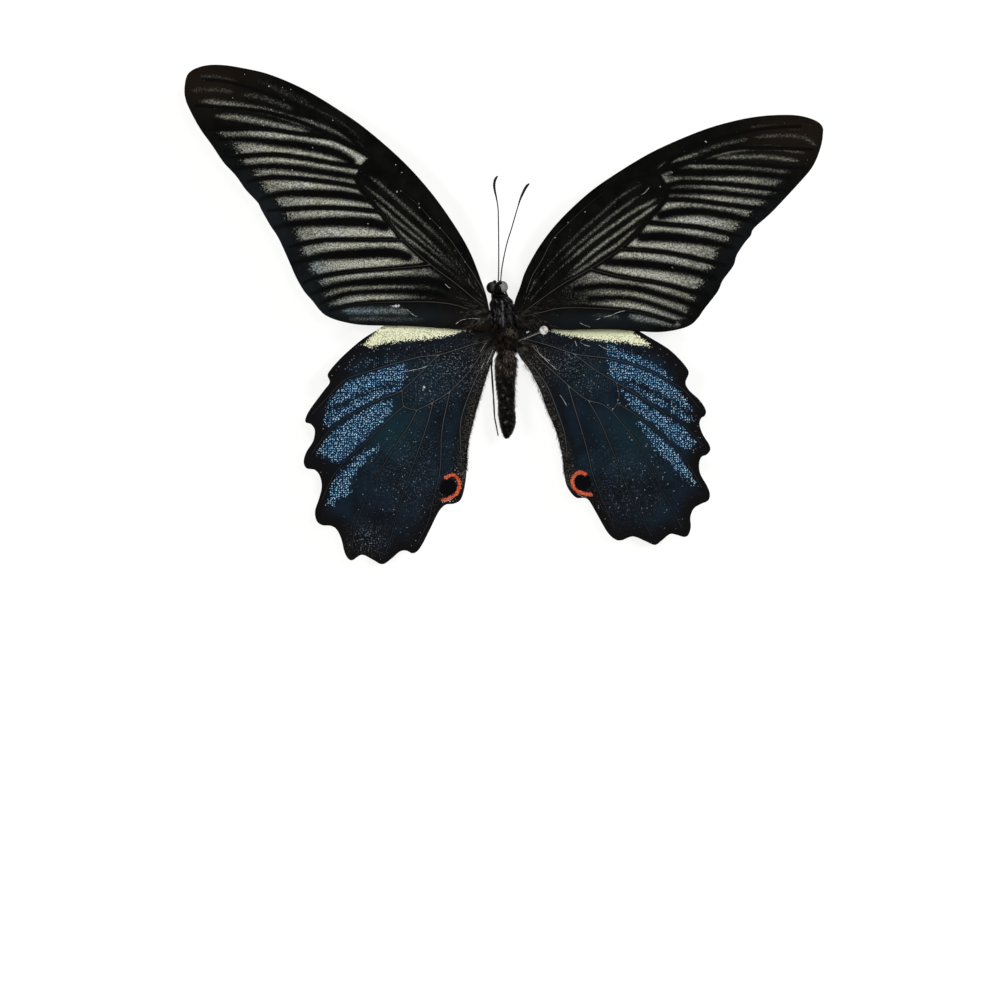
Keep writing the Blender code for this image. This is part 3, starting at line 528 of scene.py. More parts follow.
# Pin
PIN_HEAD_PLACE = (543.2, 332.6)
PIN_ENTRY_PLACE = (514.8, 342.3)
PIN_HEAD_HEIGHT = 0.0156
PIN_ENTRY_HEIGHT = 0.0049
PIN_FOOT_HEIGHT = 0.0012

# Lowest that hair and legs may hang over what the specimen rests on
REST_CLEARANCE = 0.00001

# Soft lights, as name, place, size and share of the main light's power
SOFTBOXES = [
    ("overhead softbox", (0.26, 0.16, 1.2), 0.2, 0.35),
    ("right softbox", (0.75, 0.35, 0.75), 0.26, 1.0),
    ("left softbox", (-0.8, 0.25, 0.8), 0.26, 0.85),
    ("rear softbox", (0.0, -0.85, 0.8), 0.26, 0.7),
]
FLOOR_HALF = 3.0
FLOOR_DROP = 0.00003
CAMERA_PLACE = (500, 500)

# Refraction of insect shell and of the scales and hairs made of it
CHITIN_IOR = 1.56
HAIR_IOR = 1.55


def linear(color):
    """Turn an sRGB hex colour into linear red, green, blue and alpha."""
    values = []
    for start in (1, 3, 5):
        value = int(color[start:start + 2], 16) / 255
        values.append(value / 12.92 if value <= 0.04045 else ((value + 0.055) / 1.055) ** 2.4)
    return (*values, 1.0)


# Shapes

def place(points):
    """Turn rows of grid x and grid y into metres, and keep any further columns."""
    grid = np.array(points, float)
    grid[..., 0] = (grid[..., 0] - GRID_ORIGIN[0]) * GRID
    grid[..., 1] = (GRID_ORIGIN[1] - grid[..., 1]) * GRID
    return grid


def smooth_path(points, steps, closed=False):
    """Return a Catmull-Rom curve through rows of points, with steps spans for each gap."""
    points = np.asarray(points, float)
    ends = (points[-1:], points[:2]) if closed else (points[:1], points[-1:])
    guides = np.vstack((ends[0], points, ends[1]))
    path = []
    for before, start, end, after in zip(guides, guides[1:], guides[2:], guides[3:]):
        for t in np.arange(steps) / steps:
            path.append(0.5 * (2 * start + (end - before) * t
                               + (2 * before - 5 * start + 4 * end - after) * t ** 2
                               + (3 * start - before - 3 * end + after) * t ** 3))
    if not closed:
        path.append(points[-1])
    return np.array(path)


def even_path(path, spacing, closed=False):
    """Return the path with points at an even spacing."""
    if closed:
        path = np.vstack((path, path[:1]))
    run = np.concatenate(([0], np.cumsum(np.linalg.norm(np.diff(path, axis=0), axis=1))))
    count = max(2, round(run[-1] / spacing) + 1)
    wanted = np.linspace(0, run[-1], count)
    even = np.column_stack([np.interp(wanted, run, column) for column in path.T])
    return even[:-1] if closed else even


def distance_to(points, path, half_widths=None):
    """Return how far each point is from a line, less the line's own half width there."""
    nearest = np.full(len(points), np.inf)
    for index, (start, end) in enumerate(zip(path, path[1:])):
        span = end - start
        share = np.clip((points - start) @ span / (span @ span), 0, 1)
        gap = np.hypot(*(points - start - share[:, None] * span).T)
        if half_widths is not None:
            gap -= half_widths[index] + (half_widths[index + 1] - half_widths[index]) * share
        np.minimum(nearest, gap, out=nearest)
    return nearest


def depth_inside(points, outline):
    """Return how far each point is inside a closed outline, or below zero outside it."""
    closed = np.vstack((outline, outline[:1]))
    x, y = points.T
    inside = np.zeros(len(points), bool)
    for start, end in zip(closed, closed[1:]):
        if start[1] == end[1]:
            continue
        crossing = start[0] + (end[0] - start[0]) * (y - start[1]) / (end[1] - start[1])
        inside ^= ((start[1] > y) != (end[1] > y)) & (x < crossing)
    distance = distance_to(points, closed)
    return np.where(inside, distance, -distance)


def ease(values, low, high):
    """Return a smooth step from 0 at low to 1 at high."""
    share = np.clip((values - low) / (high - low), 0, 1)
    return share * share * (3 - 2 * share)


def hex_points(outline, lines, step):
    """Return evenly spread points inside an outline, clear of it and of the lines."""
    low = outline.min(axis=0)
    high = outline.max(axis=0)
    row_step = step * math.sqrt(3) / 2
    rows = np.arange(low[1], high[1], row_step)
    found = []
    for index, y in enumerate(rows):
        xs = np.arange(low[0] + (index % 2) * step / 2, high[0], step)
        found.append(np.column_stack((xs, np.full(len(xs), y))))
    found = np.vstack(found)
    found = found[depth_inside(found, outline) > 0.45 * step]
    for line in lines:
        found = found[distance_to(found, line) > 0.45 * step]
    return found


def make_mesh(name, vertices, faces, values=None, smooth=True):
    """Return a mesh of vertices and faces with named float values on its vertices."""
    mesh = bpy.data.meshes.new(name)
    mesh.from_pydata(np.asarray(vertices).tolist(), [], faces)
    for key, numbers in (values or {}).items():
        attribute = mesh.attributes.new(key, "FLOAT", "POINT")
        attribute.data.foreach_set("value", np.asarray(numbers, float))
    if smooth:
        mesh.shade_smooth()
    mesh.update()
    return mesh


def add_piece(name, mesh, materials, nodes=()):
    """Link a piece, ride it on the body and hide the solids it stands for."""
    piece = bpy.data.objects.new(name, mesh)
    bpy.context.scene.collection.objects.link(piece)
    for material in materials:
        mesh.materials.append(material)
    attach(piece, BODY)
    if nodes:
        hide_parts(*nodes)
    return piece


# Materials

def start_material(name):
    """Return a new material's node tree and its Principled shader."""
    material = bpy.data.materials.new(name)
    material.use_nodes = True
    tree = material.node_tree
    return material, tree, tree.nodes["Principled BSDF"]


def add_node(tree, kind, values=(), links=(), **settings):
    """Add one shader node with its settings, the values of its inputs and its links."""
    node = tree.nodes.new("ShaderNode" + kind)
    if kind == "Mix":
        node.data_type = "RGBA"
    for key, value in settings.items():
        setattr(node, key, value)
    for socket, value in dict(values).items():
        node.inputs[socket].default_value = value
    for socket, source in dict(links).items():
        if isinstance(source, bpy.types.Node):
            source = next(output for output in source.outputs if output.enabled)
        tree.links.new(source, node.inputs[socket])
    return node


def finish_shader(tree, shader, links, values):
    """Give a Principled shader its linked inputs and its constant ones."""
    for socket, source in links.items():
        tree.links.new(source, shader.inputs[socket])
    for socket, value in values.items():
        shader.inputs[socket].default_value = value


def paint_veins(tree, color, vein, pale, looks, flank, core):
    """Draw each vein as a thin grey core between two bare dark lines."""
    dark = add_node(tree, "MapRange", {1: flank[0], 2: flank[1], 3: flank[2], 4: 0}, {0: vein},
                    interpolation_type="SMOOTHSTEP")
    color = add_node(tree, "Mix", {7: looks.vein_flank}, {0: dark, 6: color})
    light = add_node(tree, "MapRange", {1: core[0], 2: core[1], 3: 1, 4: 0}, {0: vein},
                     interpolation_type="SMOOTHSTEP")
    light = add_node(tree, "Math", links={0: light, 1: pale}, operation="MULTIPLY")
    return add_node(tree, "Mix", {7: looks.vein}, {0: light, 6: color})


def scale_relief(tree, spot):
    """Return the relief of fine overlapping plates, 0.15 mm, drawn coarser than real scales."""
    plates = add_node(tree, "TexVoronoi", {"Scale": 1 / (0.15 * MM)}, {"Vector": spot})
    relief = add_node(tree, "Bump", {"Strength": 0.35, "Distance": 0.03 * MM}, {"Height": plates})
    return relief.outputs[0]


def forewing_scales(name, looks, strength):
    """Dry forewing scales, grown as overlapping plates: matt black with powdery grey stripes."""
    material, tree, shader = start_material(name)
    spot = add_node(tree, "TexCoord").outputs["Object"]
    stripe, ends, streak, slate, brown, vein, pale, fold = (
        add_node(tree, "Attribute", attribute_name=key).outputs["Fac"]
        for key in ("stripe", "ends", "streak", "slate", "brown", "vein", "pale", "fold"))

    # Black ground, slate toward the outer margin, brown at tip and root, darkest in the folds
    cloud = add_node(tree, "TexNoise", {"Scale": 1 / (2.5 * MM), "Detail": 4}, {"Vector": spot})
    cloud = add_node(tree, "MapRange", {1: 0.35, 2: 0.65}, {0: cloud})
    ground = add_node(tree, "Mix", {6: looks.ground, 7: looks.ground_light}, {0: cloud})
    for share, tint in ((slate, looks.slate), (brown, looks.brown), (fold, looks.vein_flank)):
        ground = add_node(tree, "Mix", {7: tint}, {0: share, 6: ground})

    # Stripes: crested, ragged at the outer ends, with a grain of pale scales 0.26 mm apart
    ragged = add_node(tree, "TexNoise", {"Scale": 1 / (0.5 * MM), "Detail": 2, "Roughness": 0.6},
                      {"Vector": spot})
    ragged = add_node(tree, "MapRange", {3: -0.8, 4: 0.8}, {0: ragged})
    reach = add_node(tree, "Math", links={0: ends, 1: ragged}, operation="ADD")
    reach = add_node(tree, "MapRange", {1: -1, 2: 1.4}, {0: reach})
    grain = add_node(tree, "TexNoise", {"Scale": 1 / (0.26 * MM), "Detail": 1, "Roughness": 0.7},
                     {"Vector": spot})
    grain = add_node(tree, "MapRange", {1: 0.34, 2: 0.66}, {0: grain})
    loose = add_node(tree, "MapRange", {3: -0.7, 4: 0}, {0: grain})
    reach = add_node(tree, "Math", {1: 1.7}, {0: reach, 2: loose}, operation="MULTIPLY_ADD",
                     use_clamp=True)
    cover = add_node(tree, "Math", links={0: reach, 1: stripe}, operation="MULTIPLY")
    cover = add_node(tree, "Math", links={0: cover, 1: streak}, operation="MAXIMUM")
    bare = add_node(tree, "Math", {0: 1}, {1: cover}, operation="SUBTRACT")
    gap = add_node(tree, "Math", {0: 1}, {1: grain}, operation="SUBTRACT")
    gap = add_node(tree, "Math", links={0: gap, 1: bare}, operation="MULTIPLY")
    thin = add_node(tree, "Math", {1: -0.3}, {0: gap, 2: cover}, operation="MULTIPLY_ADD",
                    use_clamp=True)
    bright = add_node(tree, "MapRange", {3: 0.52 * strength, 4: 1.05 * strength}, {0: grain})
    level = add_node(tree, "Math", links={0: thin, 1: bright}, operation="MULTIPLY")
    amount = add_node(tree, "Math", {1: 2.2}, {0: level}, operation="POWER")
    drift = add_node(tree, "TexNoise", {"Scale": 1 / (6 * MM), "Detail": 2}, {"Vector": spot})
    drift = add_node(tree, "MapRange", {1: 0.35, 2: 0.65}, {0: drift})
    tone = add_node(tree, "Mix", {6: looks.stripe, 7: looks.stripe_warm}, {0: drift})
    tone = add_node(tree, "Mix", {7: looks.stripe_cool}, {0: slate, 6: tone})
    color = add_node(tree, "Mix", links={0: amount, 6: ground, 7: tone})

    color = paint_veins(tree, color, vein, pale, looks, (0.12, 0.36, 0.92), (0.01, 0.10))
    finish_shader(tree, shader, {"Base Color": color.outputs[2],
                                 "Normal": scale_relief(tree, spot)},
                  {"Roughness": 0.68, "Specular IOR Level": 0.015, "IOR": CHITIN_IOR})
    return material


def hindwing_scales(name, looks):
    """Dry hindwing scales: navy and black, with blue dots, a cream streak and a red ring."""
    material, tree, shader = start_material(name)
    spot = add_node(tree, "TexCoord").outputs["Object"]
    vein, pale, blue, sparse, cream, shade, ring, pupil, margin, inner, teal, powder, dusk = (
        add_node(tree, "Attribute", attribute_name=key).outputs["Fac"]
        for key in ("vein", "pale", "blue", "sparse", "cream", "shade", "ring", "pupil", "margin",
                    "inner", "teal", "powder", "dusk"))

    # Navy ground with teal clouds and brown-black margins
    cloud = add_node(tree, "TexNoise", {"Scale": 1 / (4 * MM), "Detail": 4}, {"Vector": spot})
    cloud = add_node(tree, "MapRange", {1: 0.35, 2: 0.65}, {0: cloud})
    ground = add_node(tree, "Mix", {6: looks.ground, 7: looks.ground_light}, {0: cloud})
    glow = add_node(tree, "MapRange", {1: -0.6, 2: 0.9, 4: 0.85}, {0: blue},
                    interpolation_type="SMOOTHSTEP")
    ragged = add_node(tree, "TexNoise", {"Scale": 1 / (0.45 * MM), "Detail": 2, "Roughness": 0.65},
                      {"Vector": spot})
    ragged = add_node(tree, "MapRange", {3: -0.5, 4: 0.5}, {0: ragged})
    edge = add_node(tree, "Math", links={0: margin, 1: ragged}, operation="ADD")
    edge = add_node(tree, "MapRange", {1: 0.8, 2: 3.6, 3: 0.95, 4: 0}, {0: edge},
                    interpolation_type="SMOOTHSTEP")
    hairy = add_node(tree, "TexNoise", {"Scale": 1 / (0.25 * MM), "Detail": 2}, {"Vector": spot})
    downy = add_node(tree, "MapRange", {1: 0.46, 2: 0.66}, {0: hairy})
    downy = add_node(tree, "Math", links={0: downy, 1: inner}, operation="MULTIPLY")
    loose = add_node(tree, "MapRange", {1: 0.56, 2: 0.72, 4: 0.6}, {0: hairy})
    loose = add_node(tree, "Math", links={0: loose, 1: powder}, operation="MULTIPLY")
    for share, tint in ((teal, looks.teal), (dusk, looks.margin), (glow, looks.blue_ground),
                        (edge, looks.margin), (inner, looks.margin), (downy, looks.inner),
                        (loose, looks.powder)):
        ground = add_node(tree, "Mix", {7: tint}, {0: share, 6: ground})

    # Dots of blue scales, 0.38 mm apart, absent beside the veins and smallest when alone
    wobble = add_node(tree, "TexNoise", {"Scale": 1 / (1.2 * MM), "Detail": 2}, {"Vector": spot})
    wobble = add_node(tree, "MapRange", {3: -0.9, 4: 0.9}, {0: wobble})
    crowd = add_node(tree, "Math", links={0: blue, 1: wobble}, operation="ADD")
    density = add_node(tree, "MapRange", {1: -0.6, 2: 0.4, 4: 0.96}, {0: crowd})
    density = add_node(tree, "Math", links={0: density, 1: sparse}, operation="ADD")
    beside = add_node(tree, "MapRange", {1: 0.28, 2: 0.5}, {0: vein})
    density = add_node(tree, "Math", links={0: density, 1: beside}, operation="MULTIPLY")
    dots = add_node(tree, "TexVoronoi", {"Scale": 1 / (0.38 * MM), "Randomness": 0.64},
                    {"Vector": spot}, voronoi_dimensions="2D")
    random = add_node(tree, "SeparateColor", links={0: dots.outputs["Color"]})
    there = add_node(tree, "Math", links={0: random.outputs[0], 1: density}, operation="LESS_THAN")
    size = add_node(tree, "MapRange", {3: 0.22, 4: 0.37}, {0: random.outputs[1]})
    alone = add_node(tree, "MapRange", {1: -0.5, 2: 0.4, 3: 0.68, 4: 1}, {0: crowd})
    size = add_node(tree, "Math", links={0: size, 1: alone}, operation="MULTIPLY")
    round_edge = add_node(tree, "Math", links={0: size, 1: dots.outputs["Distance"]},
                          operation="SUBTRACT")
    round_edge = add_node(tree, "MapRange", {1: 0, 2: 0.16}, {0: round_edge})
    dot = add_node(tree, "Math", links={0: there, 1: round_edge}, operation="MULTIPLY")
    tint = add_node(tree, "Mix", {6: looks.dot, 7: looks.dot_light}, {0: random.outputs[2]})
    lone = add_node(tree, "MapRange", {1: -0.6, 2: 0, 3: 0.75, 4: 0}, {0: crowd})
    tint = add_node(tree, "Mix", {7: looks.powder}, {0: lone, 6: tint})
    color = add_node(tree, "Mix", links={0: dot, 6: ground, 7: tint})

    color = paint_veins(tree, color, vein, pale, looks, (0.08, 0.30, 0.8), (0, 0.075))

    # Cream streak, darkened by painted shadow where the shade patches lie, and the red ring round
    # a velvet black spot
    fine = add_node(tree, "TexNoise", {"Scale": 1 / (0.24 * MM), "Detail": 1.5}, {"Vector": spot})
    rough_edge = add_node(tree, "MapRange", {1: 0.25, 2: 0.75, 3: -0.55, 4: 0.55}, {0: fine})
    streak = add_node(tree, "Math", links={0: cream, 1: rough_edge}, operation="ADD")
    streak = add_node(tree, "MapRange", {1: 0.1, 2: 0.32}, {0: streak})
    mottle = add_node(tree, "MapRange", {1: 0.3, 2: 0.55, 3: 1, 4: 0.12}, {0: fine})
    # The dark cream tone gives the streak's dark specks and, where the shade value is high, a
    # painted shadow of the forewing
    mottle = add_node(tree, "Math", links={0: mottle, 1: shade}, operation="MAXIMUM")
    cream_tone = add_node(tree, "Mix", {6: looks.cream, 7: looks.cream_dark}, {0: mottle})
    color = add_node(tree, "Mix", links={0: streak, 6: color, 7: cream_tone})
    black = add_node(tree, "MapRange", {1: -0.15, 2: 0.2}, {0: pupil})
    color = add_node(tree, "Mix", {7: looks.pupil}, {0: black, 6: color})
    rim = add_node(tree, "Math", {1: 0.3}, {0: rough_edge, 2: ring}, operation="MULTIPLY_ADD")
    rim = add_node(tree, "MapRange", {1: -0.06, 2: 0.12}, {0: rim})
    ring_tone = add_node(tree, "Mix", {6: looks.ring, 7: looks.ring_light},
                         {0: add_node(tree, "MapRange", {1: 0.42, 2: 0.72}, {0: fine})})
    color = add_node(tree, "Mix", links={0: rim, 6: color, 7: ring_tone})

    finish_shader(tree, shader, {"Base Color": color.outputs[2],
                                 "Normal": scale_relief(tree, spot)},
                  {"Roughness": 0.62, "Specular IOR Level": 0.03, "IOR": CHITIN_IOR})
    return material


def glossy_chitin(name, color, light, roughness, relief, spacing, gloss=0.5, painted_highlight=None):
    """Bare insect shell, hardened and smooth: near black with soft streaks of light, and, when a
    highlight colour is given, pale streaks of painted highlight mixed into its colour.
    """
    material, tree, shader = start_material(name)
    spot = add_node(tree, "TexCoord").outputs["Object"]
    cloud = add_node(tree, "TexNoise", {"Scale": 1 / spacing, "Detail": 3}, {"Vector": spot})
    share = add_node(tree, "MapRange", {1: 0.5, 2: 0.72}, {0: cloud})
    tone = add_node(tree, "Mix", {6: color, 7: light}, {0: share})
    if painted_highlight is not None:
        # Painted highlight: a pale bluish colour mixed in along the marked streaks and flecked by
        # noise, in place of the gloss catching the lights
        worn = add_node(tree, "Attribute", attribute_name="painted_highlight").outputs["Fac"]
        flecked = add_node(tree, "TexNoise", {"Scale": 1 / (0.3 * MM), "Detail": 2},
                           {"Vector": spot})
        flecked = add_node(tree, "MapRange", {1: 0.3, 2: 0.6}, {0: flecked})
        worn = add_node(tree, "Math", links={0: worn, 1: flecked}, operation="MULTIPLY")
        tone = add_node(tree, "Mix", {7: painted_highlight}, {0: worn, 6: tone})
    polish = add_node(tree, "MapRange", {3: roughness * 0.75, 4: roughness * 1.35}, {0: cloud})
    bumps = add_node(tree, "TexNoise", {"Scale": 1 / (spacing * 0.3), "Detail": 2},
                     {"Vector": spot})
    wrinkle = add_node(tree, "Bump", {"Strength": 0.5, "Distance": relief}, {"Height": bumps})
    finish_shader(tree, shader, {"Base Color": tone.outputs[2], "Roughness": polish.outputs[0],
                                 "Normal": wrinkle.outputs[0]},
                  {"Specular IOR Level": gloss, "IOR": CHITIN_IOR})
    return material


def compound_eye(name, color, light, gloss, patch, reach):
    """Dried compound eye: facets 0.06 mm wide under a clear gloss, with a painted reflection that
    makes it paler round a spot on its top.
    """
    material, tree, shader = start_material(name)
    spot = add_node(tree, "TexCoord").outputs["Object"]
    facets = add_node(tree, "TexVoronoi", {"Scale": 1 / (0.06 * MM), "Randomness": 0.3},
                      {"Vector": spot})
    # Painted reflection: the colour turns to the light tone toward a spot above the eye, within
    # reach
    center = (*place(patch), HEAD_HEIGHT + 5 * GRID)
    away = add_node(tree, "VectorMath", {1: center}, {0: spot},
                    operation="DISTANCE").outputs["Value"]
    cloud = add_node(tree, "TexNoise", {"Scale": 1 / (0.5 * MM), "Detail": 2}, {"Vector": spot})
    cloud = add_node(tree, "MapRange", {1: 0.3, 2: 0.7, 3: -0.2 * reach, 4: 0.2 * reach},
                     {0: cloud})
    away = add_node(tree, "Math", links={0: away, 1: cloud}, operation="ADD")
    share = add_node(tree, "MapRange", {1: 0.2 * reach, 2: reach, 3: 1, 4: 0}, {0: away},
                     interpolation_type="SMOOTHSTEP")
    tone = add_node(tree, "Mix", {6: color, 7: light}, {0: share})
    relief = add_node(tree, "Bump", {"Strength": 0.25, "Distance": 0.01 * MM}, {"Height": facets})
    finish_shader(tree, shader, {"Base Color": tone.outputs[2], "Normal": relief.outputs[0]},
                  {"Roughness": 0.2, "Specular IOR Level": gloss, "IOR": CHITIN_IOR})
    return material


def hair_material(name, dark, light):
    """Dry scale hair: matt, dark at the root and paler where it is worn toward the tip."""
    material, tree, shader = start_material(name)
    tone = add_node(tree, "Attribute", attribute_name="tone").outputs["Fac"]
    color = add_node(tree, "Mix", {6: dark, 7: light}, {0: tone})
    finish_shader(tree, shader, {"Base Color": color.outputs[2]},
                  {"Roughness": 0.55, "Specular IOR Level": 0.02, "IOR": HAIR_IOR})
    return material


def drawn_steel(name, looks):
    """Drawn steel wire: grey metal with fine lines and dull patches along it."""
    material, tree, shader = start_material(name)
    spot = add_node(tree, "TexCoord").outputs["Object"]
    dull = add_node(tree, "TexNoise", {"Scale": 1 / (0.8 * MM), "Detail": 3}, {"Vector": spot})
    share = add_node(tree, "MapRange", {1: 0.4, 2: 0.7}, {0: dull})
    tone = add_node(tree, "Mix", {6: looks.steel, 7: looks.steel_dull}, {0: share})
    polish = add_node(tree, "MapRange", {3: 0.12, 4: 0.35}, {0: dull})
    finish_shader(tree, shader, {"Base Color": tone.outputs[2], "Roughness": polish.outputs[0]},
                  {"Metallic": 1.0})
    return material


def dipped_enamel(name, looks):
    """White enamel, dipped: glossy and even, with a faint grey smudge."""
    material, tree, shader = start_material(name)
    spot = add_node(tree, "TexCoord").outputs["Object"]
    smudge = add_node(tree, "TexNoise", {"Scale": 1 / (0.7 * MM), "Detail": 1}, {"Vector": spot})
    share = add_node(tree, "MapRange", {1: 0.46, 2: 0.6, 4: 0.8}, {0: smudge})
    tone = add_node(tree, "Mix", {6: looks.enamel, 7: looks.smudge}, {0: share})
    finish_shader(tree, shader, {"Base Color": tone.outputs[2]}, {"Roughness": 0.15, "IOR": 1.5})
    return material


def plain_material(name, color, roughness, spread, spacing):
    """Matt dust or dry scale: one colour that wanders a little from place to place."""
    material, tree, shader = start_material(name)
    spot = add_node(tree, "TexCoord").outputs["Object"]
    cloud = add_node(tree, "TexNoise", {"Scale": 1 / spacing, "Detail": 2}, {"Vector": spot})
    shade = add_node(tree, "MapRange", {3: 1 - spread, 4: 1}, {0: cloud})
    tone = add_node(tree, "HueSaturation", {"Color": color}, {"Value": shade})
    finish_shader(tree, shader, {"Base Color": tone.outputs[0]}, {"Roughness": roughness})
    return material


# Wings

def sheet_height(points, root_height, droop):
    """Return the height of the middle of a wing at each point."""
    reach = np.abs(points[:, 0]) / (WINGSPAN / 2)
    rise = TIP_RISE * reach + ARCH * np.sin(math.pi * np.minimum(1, reach))
    sink = droop * np.maximum(0, -points[:, 1] / (WINGSPAN / 2)) ** 2 * 2
    return root_height + rise - sink


def fill_wing(border, veins, step):
    """Return the points and triangles of a sheet inside a border, with edges along the veins."""
    points = [border]
    edges = []
    count = len(border)
    for vein in veins:
        points.append(vein)
        edges += [(count + index, count + index + 1) for index in range(len(vein) - 1)]
        count += len(vein)
    points.append(hex_points(border, veins, step))
    spots = [Vector(point) for point in np.vstack(points)]
    fill = geometry.delaunay_2d_cdt(spots, edges, [list(range(len(border)))], 1, 1e-7)
    return np.array([tuple(spot) for spot in fill[0]]), [tuple(face) for face in fill[2]]


def grid_points(points):
    """Turn metres into rows of grid x and grid y."""
    return np.column_stack((points[:, 0] / GRID + GRID_ORIGIN[0],
                            GRID_ORIGIN[1] - points[:, 1] / GRID))


def patch_weight(points, patches):
    """Return how strongly soft round patches colour each point on the grid."""
    weight = np.zeros(len(points))
    for x, y, reach_x, reach_y, strength in patches:
        away = ((points[:, 0] - x) / reach_x) ** 2 + ((points[:, 1] - y) / reach_y) ** 2
        weight = np.maximum(weight, strength * np.exp(-away))
    return weight


def stroke_share(points, stroke, half_width):
    """Return a share for each point: 0 at the edge of a pointed stroke, 1 on its middle line."""
    route = smooth_path(stroke, 5)
    share = np.linspace(0, 1, len(route))
    widths = half_width * np.minimum(1, 0.02 + 7 * np.minimum(share, 1 - share)) ** 0.5
    return -distance_to(points, route, widths) / half_width


def build_wing(node, outline, vein_lines, folds, root_height, droop, looks, values, materials):
    """Make one wing sheet: filled, ridged along its veins, folded between them and thickened."""
    step = looks.mesh_step
    border = even_path(smooth_path(place(outline), 8, closed=True), step, closed=True)
    veins = [even_path(smooth_path(place(line), 6), step) for line in vein_lines]
    points, faces = fill_wing(border, veins, step)
    grid = grid_points(points)
    vein_distance = np.min([distance_to(points, vein) for vein in veins], axis=0)
    waves = np.sin(points[:, 0] / (2.7 * MM)) * np.sin(points[:, 1] / (2.1 * MM) + 1)
    height = sheet_height(points, root_height, droop) + looks.ripple * waves
    height += looks.vein_height * np.exp(-(vein_distance / looks.vein_width) ** 2)
    fold_depth = np.full(len(points), -np.inf)
    for fold in folds:
        route = smooth_path(fold, 5)
        fold_depth = np.maximum(fold_depth, -distance_to(grid, route[:, :2], route[:, 2]))
    height -= looks.fold_depth * ease(fold_depth, -2, 2)
    numbers = values(grid, vein_distance / MM, fold_depth, distance_to(points, border) / MM)
    numbers["vein"] = vein_distance / MM
    name = node + "_scaled"
    mesh = make_mesh(name, np.column_stack((points, height)), faces, numbers)
    wing = add_piece(name, mesh, materials, [node])
    sheet = wing.modifiers.new("sheet", "SOLIDIFY")
    sheet.thickness = looks.sheet_thickness
    sheet.offset = 0
    sheet.material_offset = 1


def forewing_values(field, streaks, root, looks):
    """Return the function that works out one forewing's markings."""
    side = math.copysign(1, root[0] - field[0][0])
    front = np.array(field[:FRONT_POINTS])
    beyond = front - (side * 12, 0)

    def work_out(grid, vein, fold, margin):
        depth = depth_inside(grid, np.vstack((beyond, field[FRONT_POINTS:])))
        ends = side * (grid[:, 0] - np.interp(grid[:, 1], front[:, 1], front[:, 0]))
        reach = np.hypot(*(grid - root).T)
        strength = looks["stripe"] * (0.18 + 0.82 * ease(reach, 30, 115))
        strength *= (0.74 + 0.26 * ease(ends, 0, 45)) * (1 - patch_weight(grid, looks["dim"]))
        strength *= ease(depth, -1, 3) * ease(vein * MM / GRID, 0.9, 4.4) * ease(-fold, -1.9, 4.9)
        streak = np.zeros(len(grid))
        for path, half_width, bright in streaks:
            share = stroke_share(grid, path, half_width + (1.4 if half_width > 1 else 0.4))
            fade = 0.5 if half_width < 1 else 0.3 + 0.7 * ease(reach, 20, 110)
            streak = np.maximum(streak, bright * fade * ease(share, 0, 1))
        outside = ease(-ends, -4, 10) * patch_weight(grid, looks["slate"])
        return {
            "stripe": strength,
            "ends": ends * GRID / MM,
            "streak": streak * ease(vein, 0.1, 0.5),
            "slate": np.maximum(outside, patch_weight(grid, looks["cool"])),
            "brown": patch_weight(grid, looks["brown"]),
            "fold": 0.75 * ease(fold, -2.5, 0.5),
            "pale": 0.04 + 0.7 * (1 - ease(reach, 30, 170)),
        }
    return work_out


def hindwing_values(looks, root):
    """Return the function that works out one hindwing's markings."""
    def work_out(grid, vein, fold, margin):
        blue = np.max([depth_inside(grid, smooth_path(field, 3, closed=True))
                       for field in looks["blue"]], axis=0)
        cream = depth_inside(grid, np.array(looks["cream"], float))
        pupil = PUPIL_RADIUS - np.hypot(*(grid - looks["pupil"]).T)
        ring = RING_HALF_WIDTH - distance_to(grid, smooth_path(looks["ring"], 5))
        reach = np.hypot(*(grid - root).T)
        inner = ease(-distance_to(grid, np.array(looks["inner"], float)), -looks["inner_width"],
                     -2)
        return {
            "blue": blue * GRID / MM,
            "sparse": 0.008 + patch_weight(grid, looks["sparse"]),
            "powder": patch_weight(grid, looks["powder"]),
            "cream": cream * GRID / MM,
            # Painted shadow on the cream streak, strong where the shade patches lie
            "shade": patch_weight(grid, looks["shade"]),
            "ring": ring * GRID / MM,
            "pupil": pupil * GRID / MM,
            "margin": margin,
            "inner": inner,
            "teal": patch_weight(grid, looks["teal"]),
            "dusk": patch_weight(grid, looks["dusk"]),
            "pale": 0.18 + 0.5 * (1 - ease(reach, 60, 190)),
        }
    return work_out


# Body

def tube_rings(path, across, up, round_points, shape=None):
    """Return rings of points round a path, with its own half width and half height at each."""
    path = np.asarray(path, float)
    angles = np.linspace(0, 2 * math.pi, round_points, endpoint=False)
    along = np.gradient(path, axis=0)
    along /= np.linalg.norm(along, axis=1)[:, None]
    side = np.cross(along, (0, 0, 1))
    side /= np.linalg.norm(side, axis=1)[:, None]
    rise = np.cross(side, along)
    factor = np.ones((len(path), round_points)) if shape is None else shape
    wide = (np.asarray(across)[:, None] * factor * np.cos(angles))[..., None] * side[:, None]
    tall = (np.asarray(up)[:, None] * factor * np.sin(angles))[..., None] * rise[:, None]
    return path[:, None] + wide + tall


def ring_faces(ring_count, round_points, first=0):
    """Return the faces of a closed tube of rings, with a cap at each end."""
    faces = []
    for ring in range(ring_count - 1):
        for index in range(round_points):
            after = (index + 1) % round_points
            start = first + ring * round_points
            faces.append((start + index, start + round_points + index,
                          start + round_points + after, start + after))
    faces.append(tuple(first + index for index in range(round_points)))
    last = first + (ring_count - 1) * round_points
    faces.append(tuple(last + index for index in reversed(range(round_points))))
    return faces


def joined_tubes(name, tubes, values=None):
    """Return one mesh of several ringed tubes."""
    vertices = []
    faces = []
    for rings in tubes:
        faces += ring_faces(len(rings), rings.shape[1], sum(map(len, vertices)))
        vertices.append(rings.reshape(-1, 3))
    return make_mesh(name, np.vstack(vertices), faces, values)


